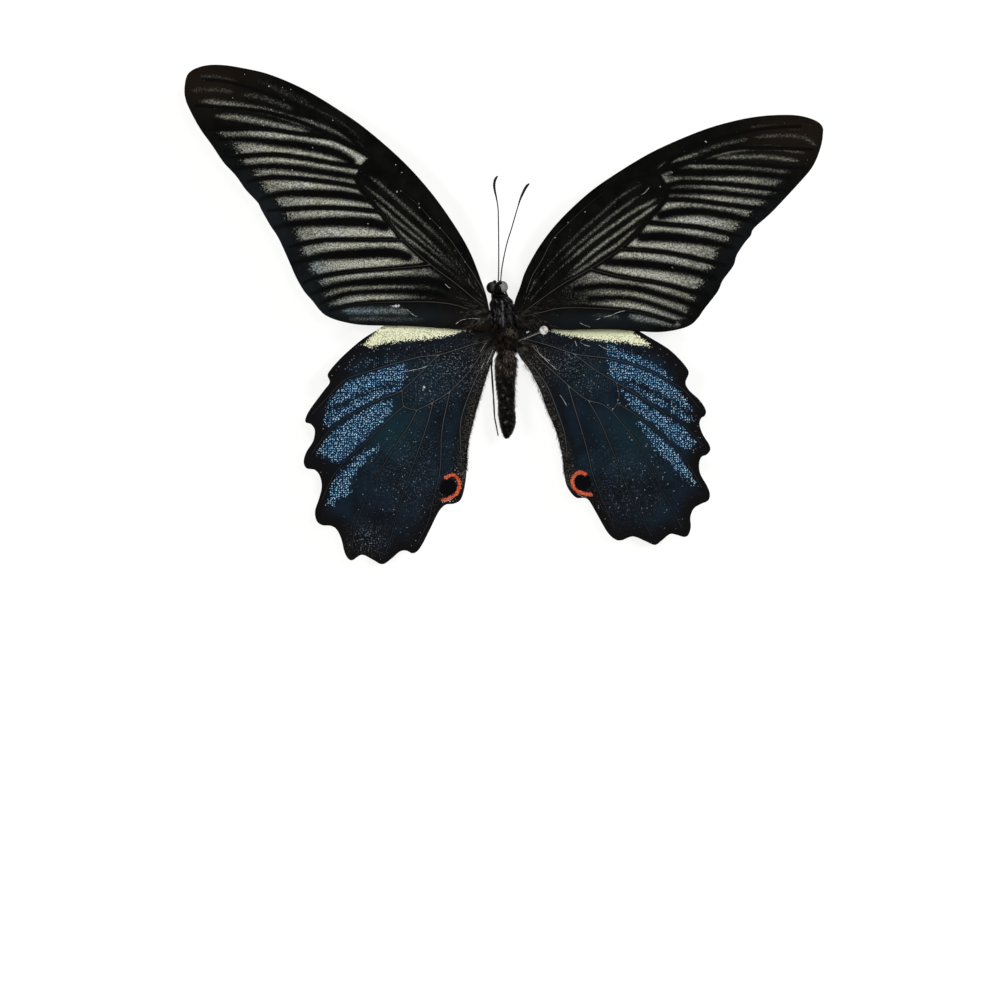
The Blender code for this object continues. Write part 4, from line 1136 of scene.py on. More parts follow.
def swelling(shape, share, angles, low, high, middle, spread, rise):
    """Raise a long lump on a tube between two shares of its length, at one angle round it."""
    edge = (high - low) * 0.22
    lengthwise = ease(share, low, low + edge) * (1 - ease(share, high - edge, high))
    turn = np.angle(np.exp(1j * (angles - math.radians(middle))))
    sideways = np.exp(-(turn / math.radians(spread)) ** 2)
    shape += rise * lengthwise[:, None] * sideways[None]


def body_axis(stations, height, steps):
    """Return the middle line of a body part, its half widths and the share of its length."""
    stations = smooth_path(stations, steps)
    path = np.column_stack((place(stations[:, :2]), np.full(len(stations), height)))
    share = (stations[:, 1] - stations[0, 1]) / (stations[-1, 1] - stations[0, 1])
    return path, stations[:, 2] * GRID, share


def thorax_rings(round_points=112, steps=14):
    """Return the rings of the thorax: collar, shoulder plates, back with a groove, rear shield."""
    path, half, share = body_axis(THORAX_STATIONS, THORAX_AXIS_HEIGHT, steps)
    angles = np.linspace(0, 2 * math.pi, round_points, endpoint=False)
    shape = np.repeat(0.94 + 0.05 * np.cos(angles)[None] ** 2, len(path), axis=0)
    for plate in THORAX_PLATES:
        swelling(shape, share, angles, *plate)
    for seam in THORAX_SEAMS:
        shape -= 0.06 * np.exp(-((share - seam) / .012) ** 2)[:, None]
    for base in LEG_BASES:
        swelling(shape, share, angles, *base)
    rings = tube_rings(path, half, half * THORAX_DEPTH_TO_WIDTH, round_points, shape)
    rings[..., 2] = np.maximum(rings[..., 2], 2 * REST_CLEARANCE)
    return rings


def painted_highlight_values(rings):
    """Return how strongly each point on top of the thorax carries the pale bluish painted
    highlight.
    """
    points = rings.reshape(-1, 3)
    grid = grid_points(points)
    painted_highlight = np.zeros(len(points))
    for stroke, half_width, bright in THORAX_PAINTED_HIGHLIGHTS:
        painted_highlight = np.maximum(painted_highlight, bright * ease(stroke_share(grid, stroke, half_width), 0, 1))
    return painted_highlight * (points[:, 2] > THORAX_AXIS_HEIGHT)


def abdomen_rings(round_points=96, steps=22):
    """Return the rings of the abdomen: nine segments, each overlapping the next one's front."""
    path, half, share = body_axis(ABDOMEN_STATIONS, ABDOMEN_AXIS_HEIGHT, steps)
    angles = np.linspace(0, 2 * math.pi, round_points, endpoint=False)
    phase = share * ABDOMEN_SEGMENTS % 1
    step_down = 0.045 * (1 - ease(phase, 0, 0.25)) + 0.03 * ease(phase, 0.9, 1)
    shape = np.repeat((0.99 - step_down)[:, None], round_points, axis=1)
    uneven = np.sin(angles * 3 + 1)[None] * np.sin(share * 21)[:, None]
    shape += 0.012 * uneven - 0.05 * np.exp(-((angles - math.radians(150)) / .3) ** 2)[None]
    rings = tube_rings(path, half, half * 1.03, round_points, shape)
    rings[..., 2] = np.maximum(rings[..., 2], 4 * REST_CLEARANCE)
    return rings


def blob_rings(center, half, round_points=40, rows=24, tilt=None, lumps=0.0):
    """Return the rings of a rounded lump with three half sizes and a slightly uneven skin."""
    polar = np.linspace(0.06, math.pi - 0.06, rows)
    angles = np.linspace(0, 2 * math.pi, round_points, endpoint=False)
    x = np.sin(polar)[:, None] * np.cos(angles)[None]
    y = np.sin(polar)[:, None] * np.sin(angles)[None]
    z = np.repeat(np.cos(polar)[:, None], round_points, axis=1)
    skin = 1 + lumps * np.sin(5 * x + 1) * np.sin(6 * y + 2) * np.sin(4 * z)
    points = np.stack((x * half[0], y * half[1], z * half[2]), axis=-1) * skin[..., None]
    if tilt is not None:
        points = points @ np.array(tilt).T
    return points + np.asarray(center)


# Hair

def clump_tone(roots, generator):
    """Return a tone for each hair: neighbours clump together, and a few hairs are pale."""
    clumps = [noise.noise(Vector(root) / (0.5 * MM)) for root in roots]
    return ease(np.array(clumps) + generator.normal(0, 0.12, len(roots)), -0.02, 0.5)


def repeat_faces(pattern, count, each):
    """Return the faces of many like forms that have a pattern of faces and each so many points."""
    return [tuple(corner + start for corner in face)
            for start in range(0, count * each, each) for face in pattern]


def hair_mesh(name, roots, ways, lengths, radius, sag, generator):
    """Return one mesh of tapered hairs, each a closed three-sided spike in four spans."""
    spans = 4
    count = len(roots)
    ways = ways / np.linalg.norm(ways, axis=1)[:, None]
    bend = generator.normal(0, 0.35, (count, 3)) + np.array(sag)
    side = np.cross(ways, generator.normal(0, 1, (count, 3)))
    side /= np.linalg.norm(side, axis=1)[:, None]
    other = np.cross(ways, side)
    share = np.linspace(0, 1, spans + 1)[:-1]
    middle = (roots[:, None] + ways[:, None] * (lengths[:, None] * share)[..., None]
              + bend[:, None] * (lengths[:, None] * share ** 2)[..., None] * 0.5)
    tips = roots + ways * lengths[:, None] + bend * lengths[:, None] * 0.5
    turns = np.arange(3) * 2 * math.pi / 3
    thickness = radius * (1 - 0.8 * share)
    ring = (np.cos(turns)[None, :, None] * side[:, None]
            + np.sin(turns)[None, :, None] * other[:, None])
    points = middle[:, :, None] + ring[:, None] * thickness[None, :, None, None]
    each = spans * 3 + 1
    vertices = np.concatenate((points.reshape(count, spans * 3, 3), tips[:, None]), axis=1)
    pattern = []
    for row in range(spans - 1):
        for index in range(3):
            after = (index + 1) % 3
            pattern.append((row * 3 + index, row * 3 + after, row * 3 + 3 + after,
                            row * 3 + 3 + index))
    top = (spans - 1) * 3
    pattern += [(top + index, top + (index + 1) % 3, each - 1) for index in range(3)]
    pattern.append((2, 1, 0))
    vertices[..., 2] = np.maximum(vertices[..., 2],
                                  REST_CLEARANCE + generator.uniform(0, 1e-5, (count, each)))
    own = clump_tone(roots, generator)[:, None] * 0.8
    tone = np.clip(own + np.append(np.repeat(share, 3), 1)[None] * 0.12, 0, 1)
    faces = repeat_faces(pattern, count, each)
    return make_mesh(name, vertices.reshape(-1, 3), faces, {"tone": tone.ravel()})


def skin_sample(rings, count, generator, first, last, low, high):
    """Return random places on a ringed form with their outward directions."""
    ring = generator.integers(int(first * (len(rings) - 2)), int(last * (len(rings) - 2)) + 1,
                              count)
    around = rings.shape[1]
    turn = (generator.uniform(low, high, count) / 360 * around).astype(int) % around
    spot = rings[ring, turn]
    along = rings[ring + 1, turn] - spot
    across = rings[ring, (turn + 1) % around] - spot
    out = np.cross(along, across)
    out /= np.linalg.norm(out, axis=1)[:, None] + 1e-12
    center = rings[ring].mean(axis=1)
    out *= np.sign(np.sum(out * (spot - center), axis=1))[:, None]
    return spot, out


# What a user would change

def length_property(label, description, default):
    """Return a size setting in metres."""
    return bpy.props.FloatProperty(name=label, description=description, default=default,
                                   unit="LENGTH")


def color_property(label, color):
    """Return a colour setting whose default is an sRGB hex value."""
    return bpy.props.FloatVectorProperty(
        name=label, description=f"Colour of the part named here: {label.lower()}", subtype="COLOR",
        size=4, min=0, max=1, default=linear(color))


class WingSettings(bpy.types.PropertyGroup):
    """Sizes that all four wings share."""
    mesh_step: length_property(
        "Mesh spacing", "Distance between the points of a wing sheet", 0.00026)
    sheet_thickness: length_property(
        "Sheet thickness", "Thickness of the dried wing with its scales", 0.00012)
    vein_height: length_property("Vein height", "How far a vein stands above the sheet", 0.00005)
    vein_width: length_property("Vein width", "Half width of a vein's ridge", 0.00016)
    fold_depth: length_property("Fold depth", "How deep the folds between the veins are", 0.00006)
    ripple: length_property("Ripple", "Height of the slow waves of the dried sheet", 0.00003)


class ForewingSettings(bpy.types.PropertyGroup):
    """Colours of the forewings."""
    ground: color_property("Ground", "#040504")
    ground_light: color_property("Lighter ground", "#0d0d0b")
    slate: color_property("Slate margin", "#14191c")
    brown: color_property("Brown tip and root", "#19130e")
    stripe: color_property("Stripe", "#b8b9b0")
    stripe_warm: color_property("Warm stripe", "#b2b2a0")
    stripe_cool: color_property("Cool stripe", "#94a9b1")
    vein: color_property("Vein", "#47423c")
    vein_flank: color_property("Bare line beside a vein", "#040404")


class HindwingSettings(bpy.types.PropertyGroup):
    """Colours of the hindwings."""
    ground: color_property("Ground", "#080e15")
    ground_light: color_property("Lighter ground", "#0f1c27")
    teal: color_property("Teal cloud", "#0d242b")
    blue_ground: color_property("Ground between the dots", "#0c2139")
    margin: color_property("Outer margin", "#0b0909")
    inner: color_property("Inner margin", "#4a4844")
    powder: color_property("Loose grey scales", "#8b9499")
    dot: color_property("Blue dot", "#4a8ab8")
    dot_light: color_property("Pale blue dot", "#b4dcee")
    cream: color_property("Cream streak", "#e3e5c6")
    # Dark specks in the cream streak, and the painted shadow on its top edge
    cream_dark: color_property("Shaded cream", "#84865f")
    ring: color_property("Red ring", "#a5381d")
    ring_light: color_property("Pale red", "#cf7050")
    pupil: color_property("Black spot", "#030305")
    vein: color_property("Vein", "#5f6365")
    vein_flank: color_property("Bare line beside a vein", "#060607")


class BodySettings(bpy.types.PropertyGroup):
    """Colours and hair of head, body, feelers and legs."""
    shell: color_property("Shell", "#050505")
    shell_light: color_property("Worn shell", "#0f0e0d")
    # Pale bluish painted highlight on the back of the thorax
    painted_highlight: color_property("Painted highlight on the back", "#74767b")
    abdomen: color_property("Abdomen", "#030303")
    abdomen_light: color_property("Abdomen, worn", "#12110f")
    # The eyes' paler tones are painted reflection round a spot on top, and the right eye's lighter
    # grey is painted sheen
    eye: color_property("Eye", "#030303")
    eye_painted_reflection: color_property("Eye, painted reflection", "#3e3e3b")
    eye_painted_sheen: color_property("Right eye, painted sheen", "#161615")
    eye_painted_sheen_light: color_property("Right eye, painted reflection", "#7d7d78")
    hair_dark: color_property("Dark hair", "#060403")
    hair_light: color_property("Light hair", "#99917a")
    hair_length: length_property("Hair length", "Length of the hair on the rear of the thorax",
                                 0.0011)
    hair_radius: length_property("Hair radius", "Radius of a hair at its root", 0.000022)


class PinSettings(bpy.types.PropertyGroup):
    """Sizes and colours of the pin."""
    shaft_diameter: length_property("Shaft diameter", "Diameter of the wire", 0.0004)
    head_diameter: length_property("Head diameter", "Diameter of the round head", 0.00148)
    steel: color_property("Steel", "#e0deda")
    steel_dull: color_property("Dull steel", "#97928a")
    enamel: color_property("Enamel", "#cfcdc6")
    smudge: color_property("Smudge", "#7b7974")


class StageSettings(bpy.types.PropertyGroup):
    """Floor, light and camera."""
    camera_height: length_property("Camera height", "Height of the camera above the floor", 0.755)
    lens: bpy.props.FloatProperty(
        name="Lens", description="Focal length in millimetres", default=156.6, unit="CAMERA")
    floor: color_property("Floor", "#80807f")
    floor_light: color_property("Light through the floor", "#fdfdfc")
    floor_glow: bpy.props.FloatProperty(
        name="Floor glow", description="Strength of the light that comes through the floor",
        default=0.84)
    light: bpy.props.FloatProperty(
        name="Light", description="Power of the main soft light", default=7.0, unit="POWER")


class PieceOperator:
    """What all the operators share."""
    bl_options = {"REGISTER", "UNDO"}


class DressForewings(PieceOperator, bpy.types.Operator):
    """Make both forewings with their veins, folds, stripes and scales"""
    bl_idname = "butterfly.forewings"
    bl_label = "Forewings"

    def execute(self, context):
        colors = context.scene.forewing_settings
        sizes = context.scene.wing_settings
        materials = [forewing_scales("forewing scales, back", colors, 1.0),
                     forewing_scales("forewing scales, underside", colors, 0.7)]
        for side, outline, veins, folds, marks in (
                ("left", LEFT_FOREWING, LEFT_FOREWING_VEINS, LEFT_FOREWING_FOLDS,
                 (LEFT_STRIPED_FIELD, LEFT_STREAKS, LEFT_FOREWING_ROOT, LEFT_FOREWING_LOOKS)),
                ("right", RIGHT_FOREWING, RIGHT_FOREWING_VEINS, RIGHT_FOREWING_FOLDS,
                 (RIGHT_STRIPED_FIELD, RIGHT_STREAKS, RIGHT_FOREWING_ROOT, RIGHT_FOREWING_LOOKS))):
            build_wing(f"{side}_forewing", outline, veins, folds, FOREWING_HEIGHT, 0, sizes,
                       forewing_values(*marks), materials)
        return {"FINISHED"}


class DressHindwings(PieceOperator, bpy.types.Operator):
    """Make both hindwings with their dots, cream streaks and eyespots"""
    bl_idname = "butterfly.hindwings"
    bl_label = "Hindwings"

    def execute(self, context):
        colors = context.scene.hindwing_settings
        sizes = context.scene.wing_settings
        materials = [hindwing_scales("hindwing scales, back", colors),
                     plain_material("hindwing scales, underside", linear("#1d1a18"), 0.7, 0.4,
                                    2 * MM)]
        for side, outline, veins, marks in (
                ("left", LEFT_HINDWING, LEFT_HINDWING_VEINS,
                 (LEFT_HINDWING_LOOKS, LEFT_HINDWING_ROOT)),
                ("right", RIGHT_HINDWING, RIGHT_HINDWING_VEINS,
                 (RIGHT_HINDWING_LOOKS, RIGHT_HINDWING_ROOT))):
            build_wing(f"{side}_hindwing", outline, veins, [], HINDWING_HEIGHT, TAIL_DROOP, sizes,
                       hindwing_values(*marks), materials)
        return {"FINISHED"}


class DressBody(PieceOperator, bpy.types.Operator):
    """Make the ridged thorax and the segmented abdomen"""
    bl_idname = "butterfly.body"
    bl_label = "Thorax and abdomen"

    def execute(self, context):
        colors = context.scene.body_settings
        # The thorax shell carries pale streaks of painted highlight along its back
        shell = glossy_chitin("thorax shell, polished chitin", colors.shell, colors.shell_light,
                              0.2, 0.012 * MM, 0.9 * MM, 0.05, colors.painted_highlight)
        worn = glossy_chitin("abdomen shell, chitin with rubbed scales", colors.abdomen,
                             colors.abdomen_light, 0.35, 0.05 * MM, 0.4 * MM, 0.03)
        rings = thorax_rings()
        add_piece("thorax_shell",
                  joined_tubes("thorax_shell", [rings], {"painted_highlight": painted_highlight_values(rings)}),
                  [shell], ["thorax"])
        add_piece("abdomen_shell", joined_tubes("abdomen_shell", [abdomen_rings()]), [worn],
                  ["abdomen"])
        return {"FINISHED"}


class DressHead(PieceOperator, bpy.types.Operator):
    """Make the head with its eyes, palps and feeler sockets"""
    bl_idname = "butterfly.head"
    bl_label = "Head"

    def execute(self, context):
        colors = context.scene.body_settings
        shell = glossy_chitin("head shell, chitin", colors.shell, colors.shell_light, 0.3,
                              0.02 * MM, 0.4 * MM, 0.04)
        # Each eye gets a painted reflection round a spot on its top; the right eye is painted
        # lighter grey all over as sheen
        eyes = {"left": compound_eye("compound eye, dried", colors.eye, colors.eye_painted_reflection, 0.015,
                                     (494.8, 286), 6.5 * GRID),
                "right": compound_eye("compound eye, dried, with painted sheen", colors.eye_painted_sheen,
                                      colors.eye_painted_sheen_light, 0.05, (502.8, 286.5), 8.5 * GRID)}
        forms = [blob_rings((*place((x, y)), height), np.array(half) * GRID, around, rows,
                            lumps=lumps)
                 for x, y, height, half, around, rows, lumps in HEAD_FORMS]
        add_piece("head_capsule", joined_tubes("head_capsule", forms), [shell], ["head"])
        for side, (x, y, across, along, tall) in (("left", LEFT_EYE), ("right", RIGHT_EYE)):
            center = (*place((x, y)), HEAD_HEIGHT)
            ball = blob_rings(center, np.array((across, along, tall)) * GRID * 0.99, 72, 44)
            add_piece(f"{side}_eye", joined_tubes(f"{side}_eye", [ball]), [eyes[side]],
                      ["head"])
        return {"FINISHED"}


class DressAntennae(PieceOperator, bpy.types.Operator):
    """Make both ringed feelers with their clubs"""
    bl_idname = "butterfly.antennae"
    bl_label = "Feelers"

    def execute(self, context):
        colors = context.scene.body_settings
        shell = glossy_chitin("feeler shell, satin chitin", colors.shell, colors.shell_light, 0.4,
                              0.01 * MM, 0.3 * MM, 0.15)
        for side, points in (("left", LEFT_ANTENNA), ("right", RIGHT_ANTENNA)):
            path = even_path(smooth_path(place(points), 12), FEELER_STEP)
            share = np.linspace(0, 1, len(path))
            height = ANTENNA_BASE_HEIGHT + (ANTENNA_TIP_HEIGHT - ANTENNA_BASE_HEIGHT) * share
            joints = len(path) * FEELER_STEP / FEELER_RING
            notch = 1 - 0.16 * np.abs(np.cos(math.pi * share * joints)) ** 10
            club = ease(share, 0.72, 0.93) * (1 - 0.75 * ease(share, 0.965, 1))
            radius = (FEELER_RADIUS + CLUB_SWELL * club) * notch
            rings = tube_rings(np.column_stack((path, height)), radius, radius, 10)
            add_piece(f"{side}_feeler", joined_tubes(f"{side}_feeler", [rings]), [shell],
                      [f"{side}_antenna"])
        return {"FINISHED"}


def leg_tubes(route):
    """Return the tubes of one leg: swollen joints, a foot in pieces and two claws."""
    tubes = []
    belly = 0.62 + 0.38 * np.sin(math.pi * np.linspace(0.06, 0.94, LEG_STEPS)) ** 0.5
    for index, (start, end) in enumerate(zip(route, route[1:])):
        pieces = FOOT_PIECES if index == len(route) - 2 else 1
        for piece in range(pieces):
            share = np.linspace(piece / pieces, (piece + 1) / pieces, LEG_STEPS)
            path = start[:3] + (end[:3] - start[:3]) * share[:, None]
            radius = (start[3] + (end[3] - start[3]) * share) * belly
            tubes.append(tube_rings(path, radius, radius, 12))
    claw = route[-1, :3]
    way = claw - route[-2, :3]
    way /= np.linalg.norm(way)
    for turn in (-1, 1):
        side = np.array((-way[1], way[0], 0)) * turn
        path = claw + (np.outer((0, .06, .12, .16), way) + np.outer((0, .05, .08, .06), side)) * MM
        taper = np.array((.03, .026, .016, .005)) * MM
        tubes.append(tube_rings(path, taper, taper, 8))
    for rings in tubes:
        rings[..., 2] = np.maximum(rings[..., 2], REST_CLEARANCE)
    return tubes


def leg_spines(name, route, generator):
    """Return one mesh of the fine spines on the lower part of a leg."""
    spots = []
    ways = []
    for start, end in zip(route[2:], route[3:]):
        along = end[:3] - start[:3]
        for share in np.linspace(0.05, 0.95, SPINES_A_PIECE):
            out = np.cross(along, generator.normal(0, 1, 3))
            out /= np.linalg.norm(out)
            spots.append(start[:3] + along * share + out * start[3] * 0.6)
            ways.append(out * 0.7 + along / np.linalg.norm(along))
    spots = np.array(spots)
    spots[:, 2] = np.maximum(spots[:, 2], 5 * REST_CLEARANCE)
    ways = np.array(ways)
    ways[:, 2] = np.abs(ways[:, 2]) * 0.4
    lengths = generator.uniform(.00022, .0004, len(spots))
    return hair_mesh(name, spots, ways, lengths, 0.000014, (0, 0, 0), generator)


class DressLegs(PieceOperator, bpy.types.Operator):
    """Make the six folded legs with their joints, spines and claws"""
    bl_idname = "butterfly.legs"
    bl_label = "Legs"

    def execute(self, context):
        colors = context.scene.body_settings
        shell = glossy_chitin("leg shell, dull chitin", colors.shell, colors.shell_light, 0.5,
                              0.01 * MM, 0.3 * MM, 0.12)
        for number, (name, points) in enumerate(LEGS.items()):
            generator = np.random.default_rng(50 + number)
            route = np.array(points) * MM
            leg = add_piece(f"{name}_shell", joined_tubes(f"{name}_shell", leg_tubes(route)),
                            [shell], [name])
            spines = add_piece(f"{name}_spines", leg_spines(f"{name}_spines", route, generator),
                               [shell])
            spines.parent = leg
        return {"FINISHED"}


class DressPin(PieceOperator, bpy.types.Operator):
    """Make the steel shaft and the round enamelled head"""
    bl_idname = "butterfly.pin"
    bl_label = "Pin"

    def execute(self, context):
        looks = context.scene.pin_settings
        head = np.array((*place(PIN_HEAD_PLACE), PIN_HEAD_HEIGHT))
        entry = np.array((*place(PIN_ENTRY_PLACE), PIN_ENTRY_HEIGHT))
        down = (entry - head) / np.linalg.norm(entry - head)
        foot = head + down * ((PIN_HEAD_HEIGHT - PIN_FOOT_HEIGHT) / -down[2])
        path = head + (foot - head) * np.linspace(0, 1, 60)[:, None]
        radius = np.full(60, looks.shaft_diameter / 2)
        radius[-4:] *= (1, .8, .5, .15)
        shaft = joined_tubes("pin_wire", [tube_rings(path, radius, radius, 24)])
        add_piece("pin_wire", shaft, [drawn_steel("drawn steel wire", looks)],
                  ["pin_shaft"])
        turn = Vector(-down).to_track_quat("Z", "Y").to_matrix()
        half = looks.head_diameter / 2
        ball = blob_rings(head, (half, half, half * 0.94), 56, 36, turn, lumps=.012)
        collar = blob_rings(head + down * half * 0.9, (half * .42, half * .42, half * .28), 32, 12,
                            turn)
        knob = joined_tubes("pin_knob", [ball, collar])
        add_piece("pin_knob", knob, [dipped_enamel("white enamel, dipped", looks)],
                  ["pin_head"])
        return {"FINISHED"}


def thorax_hair(grow, length, generator):
    """Grow the long hair behind the plates of the back and the short hair on the flanks."""
    rings = thorax_rings(72, 10)
    roots, out = skin_sample(rings, 4200, generator, .5, .98, -20, 200)
    waves = [0.0011 * noise.noise(Vector((root[0] / (1.1 * MM), 3, 0))) for root in roots]
    behind = roots[:, 1] < place((0, 325.5))[1] + waves + generator.normal(0, .0003, len(roots))
    roots, out = roots[behind], out[behind]
    ways = out + np.array((0, -1.1, 0)) + generator.normal(0, .45, out.shape)
    lengths = length * generator.uniform(.4, 1.0, len(roots))
    grid = grid_points(roots)
    khaki = patch_weight(grid, [(511, 332, 7, 7, 1)]) > generator.uniform(.3, .8, len(roots))
    pink = patch_weight(grid, [(508.5, 351.5, 8, 4, 1)]) > generator.uniform(.4, 1, len(roots))
    pink &= ~khaki
    for name, chosen, tone in (("thorax_khaki_hair", khaki, "khaki"),
                               ("thorax_pale_hair", pink, "faded"),
                               ("thorax_russet_hair", ~khaki & ~pink, "russet")):
        grow(name, roots[chosen], ways[chosen], lengths[chosen], 1, (0, -.2, -.4), tone)

    roots, out = skin_sample(rings, 4200, generator, .04, .95, -60, 240)
    sideways = np.abs(out[:, 2]) < 0.75
    roots, out = roots[sideways], out[sideways]
    ways = out * .5 + np.array((0, -1.2, 0)) + generator.normal(0, .35, out.shape)
    lengths = length * generator.uniform(.25, .65, len(roots))
    grow("thorax_side_hair", roots, ways, lengths, 1.3, (0, -.2, -.1), "dusky")


def abdomen_hair(grow, length, generator):
    """Grow the close hair of the abdomen, its pale tufts and the bristles on its right side."""
    rings = abdomen_rings(72, 14)
    roots, out = skin_sample(rings, 4400, generator, .0, .97, 0, 360)
    early = ease(roots[:, 1], place((0, 392))[1], place((0, 352))[1])
    ways = out * .45 + np.array((0, -1, 0)) + generator.normal(0, .32, out.shape)
    lengths = length * generator.uniform(.2, .5, len(roots)) * (.7 + .9 * early)
    roots[:, 2] = np.maximum(roots[:, 2], 10 * REST_CLEARANCE)
    front = early > generator.uniform(.12, .5, len(roots))
    tuft = patch_weight(grid_points(roots), [(508.5, 353.5, 7, 2.6, 1)])
    tuft = front & (tuft > generator.uniform(.3, .9, len(roots)))
    for name, chosen, tone in (("abdomen_tuft_hair", tuft, "faded"),
                               ("abdomen_hair", ~front, "dusky"),
                               ("abdomen_front_hair", front & ~tuft, "rubbed")):
        grow(name, roots[chosen], ways[chosen], lengths[chosen], .9, (0, -.1, .1), tone)

    roots, out = skin_sample(rings, 40000, generator, .0, .97, 0, 180)
    grid = grid_points(roots)
    near = np.min([np.hypot(*(grid - mark).T) for mark in ABDOMEN_MARKS], axis=0)
    pale = near < generator.uniform(.1, 2.6, len(roots))
    pale &= generator.uniform(0, 1, len(roots)) < .4
    flank = (grid[:, 0] > 512) & (grid[:, 1] < 425)
    pale |= flank & (generator.uniform(0, 1, len(roots)) < .06)
    pale |= generator.uniform(0, 1, len(roots)) < .006
    roots, out = roots[pale], out[pale]
    ways = out * .5 + np.array((0, -1, 0)) + generator.normal(0, .5, out.shape)
    lengths = generator.uniform(.1, .3, len(roots)) * MM
    grow("abdomen_pale_hair", roots, ways, lengths, 1, (0, 0, 0), "worn")

    roots, out = skin_sample(rings, 320, generator, .08, .6, 130, 215)
    ways = out + np.array((.3, -.7, 0)) + generator.normal(0, .3, out.shape)
    lengths = generator.uniform(.25, .8, len(roots)) * MM
    grow("abdomen_side_hair", roots, ways, lengths, 1.2, (0, -.3, 0), "dusky")


def wing_hair(grow, length, generator):
    """Grow the hair that fans out at the wing roots and along the hindwings' inner edges."""
    count = ROOT_HAIR_COUNT
    for side, joint, middle, spread, reach, root_height in ROOT_HAIR:
        angle = np.radians(middle + generator.normal(0, spread * .6, count))
        away = np.abs(generator.normal(0, reach, count)) + .0003
        flat = place(joint) + np.column_stack((np.cos(angle), np.sin(angle))) * away[:, None]
        height = sheet_height(flat, root_height, 0) + 0.00006
        ways = np.column_stack((np.cos(angle), np.sin(angle), generator.uniform(.02, .3, count)))
        ways += generator.normal(0, .22, ways.shape) * (1, 1, .3)
        lengths = length * generator.uniform(.4, 1.3, count)
        grow(f"{side}_root_hair", np.column_stack((flat, height)), ways, lengths, .8, (0, 0, -.2),
             "root", side.split("_")[1])

    count = EDGE_HAIR_COUNT
    for side, edge, turn in HAIRY_EDGES:
        path = even_path(smooth_path(place(edge), 8), 0.00001)
        pick = generator.integers(0, len(path), count)
        inward = generator.uniform(0, 1, count) ** 2 * 1.4 * MM
        flat = path[pick] - np.column_stack((turn * inward, np.zeros(count)))
        height = sheet_height(flat, HINDWING_HEIGHT, TAIL_DROOP) + 0.00005
        ways = np.column_stack((np.full(count, turn * .35), np.full(count, -1.0),
                                generator.uniform(0, .25, count)))
        ways += generator.normal(0, .15, ways.shape)
        lengths = generator.uniform(.3, .9, count) * MM
        grow(f"{side}_inner_margin_hair", np.column_stack((flat, height)), ways, lengths, .7,
             (0, 0, 0), "dusky", "hindwing")


def head_hair(grow, length, generator):
    """Grow the short hair on top of the head."""
    x, y, height, half, around, rows, lumps = HEAD_FORMS[0]
    skull = blob_rings((*place((x, y)), height), np.array(half) * GRID, around, rows)
    roots, out = skin_sample(skull, 500, generator, .1, .9, 0, 360)
    above = out[:, 2] > -.4
    roots, out = roots[above], out[above]
    ways = out * .6 + np.array((0, .5, 0)) + generator.normal(0, .3, out.shape)
    lengths = generator.uniform(.15, .4, len(roots)) * MM
    grow("head_hair", roots, ways, lengths, .8, (0, 0, 0), "dusky", "head")


class DressHair(PieceOperator, bpy.types.Operator):
    """Grow the hair on the thorax, the wing roots, the abdomen and the head"""
    bl_idname = "butterfly.hair"
    bl_label = "Hair"

    def execute(self, context):
        looks = context.scene.body_settings
        generator = np.random.default_rng(7)
        tones = {"khaki": hair_material("scale hair, brown", looks.hair_dark, looks.hair_light)}
        for tone, (name, dark, light) in HAIR_TONES.items():
            tones[tone] = hair_material(name, linear(dark), linear(light))

        def grow(name, roots, ways, lengths, thickness, sag, tone, slot="body"):
            """Make one piece of hair, as thick as a share of the usual radius."""
            radius = looks.hair_radius * thickness
            hair = hair_mesh(name, roots, ways, lengths, radius, sag, generator)
            add_piece(name, hair, [tones[tone]])

        for dress in (thorax_hair, abdomen_hair, wing_hair, head_hair):
            dress(grow, looks.hair_length, generator)
        return {"FINISHED"}


def fleck_mesh(name, spots, sizes, generator):
    """Return one mesh of small uneven eight-sided flecks."""
    corners = np.array([(1, 0, 0), (0, 1, 0), (-1, 0, 0), (0, -1, 0), (0, 0, .5), (0, 0, -.5)])
    pattern = [(0, 1, 4), (1, 2, 4), (2, 3, 4), (3, 0, 4), (1, 0, 5), (2, 1, 5), (3, 2, 5),
               (0, 3, 5)]
    wild = generator.uniform(.55, 1.35, (len(spots), 6, 1))
    vertices = spots[:, None] + corners[None] * wild * sizes[:, None, None]
    faces = repeat_faces(pattern, len(spots), 6)
    return make_mesh(name, vertices.reshape(-1, 3), faces, smooth=False)


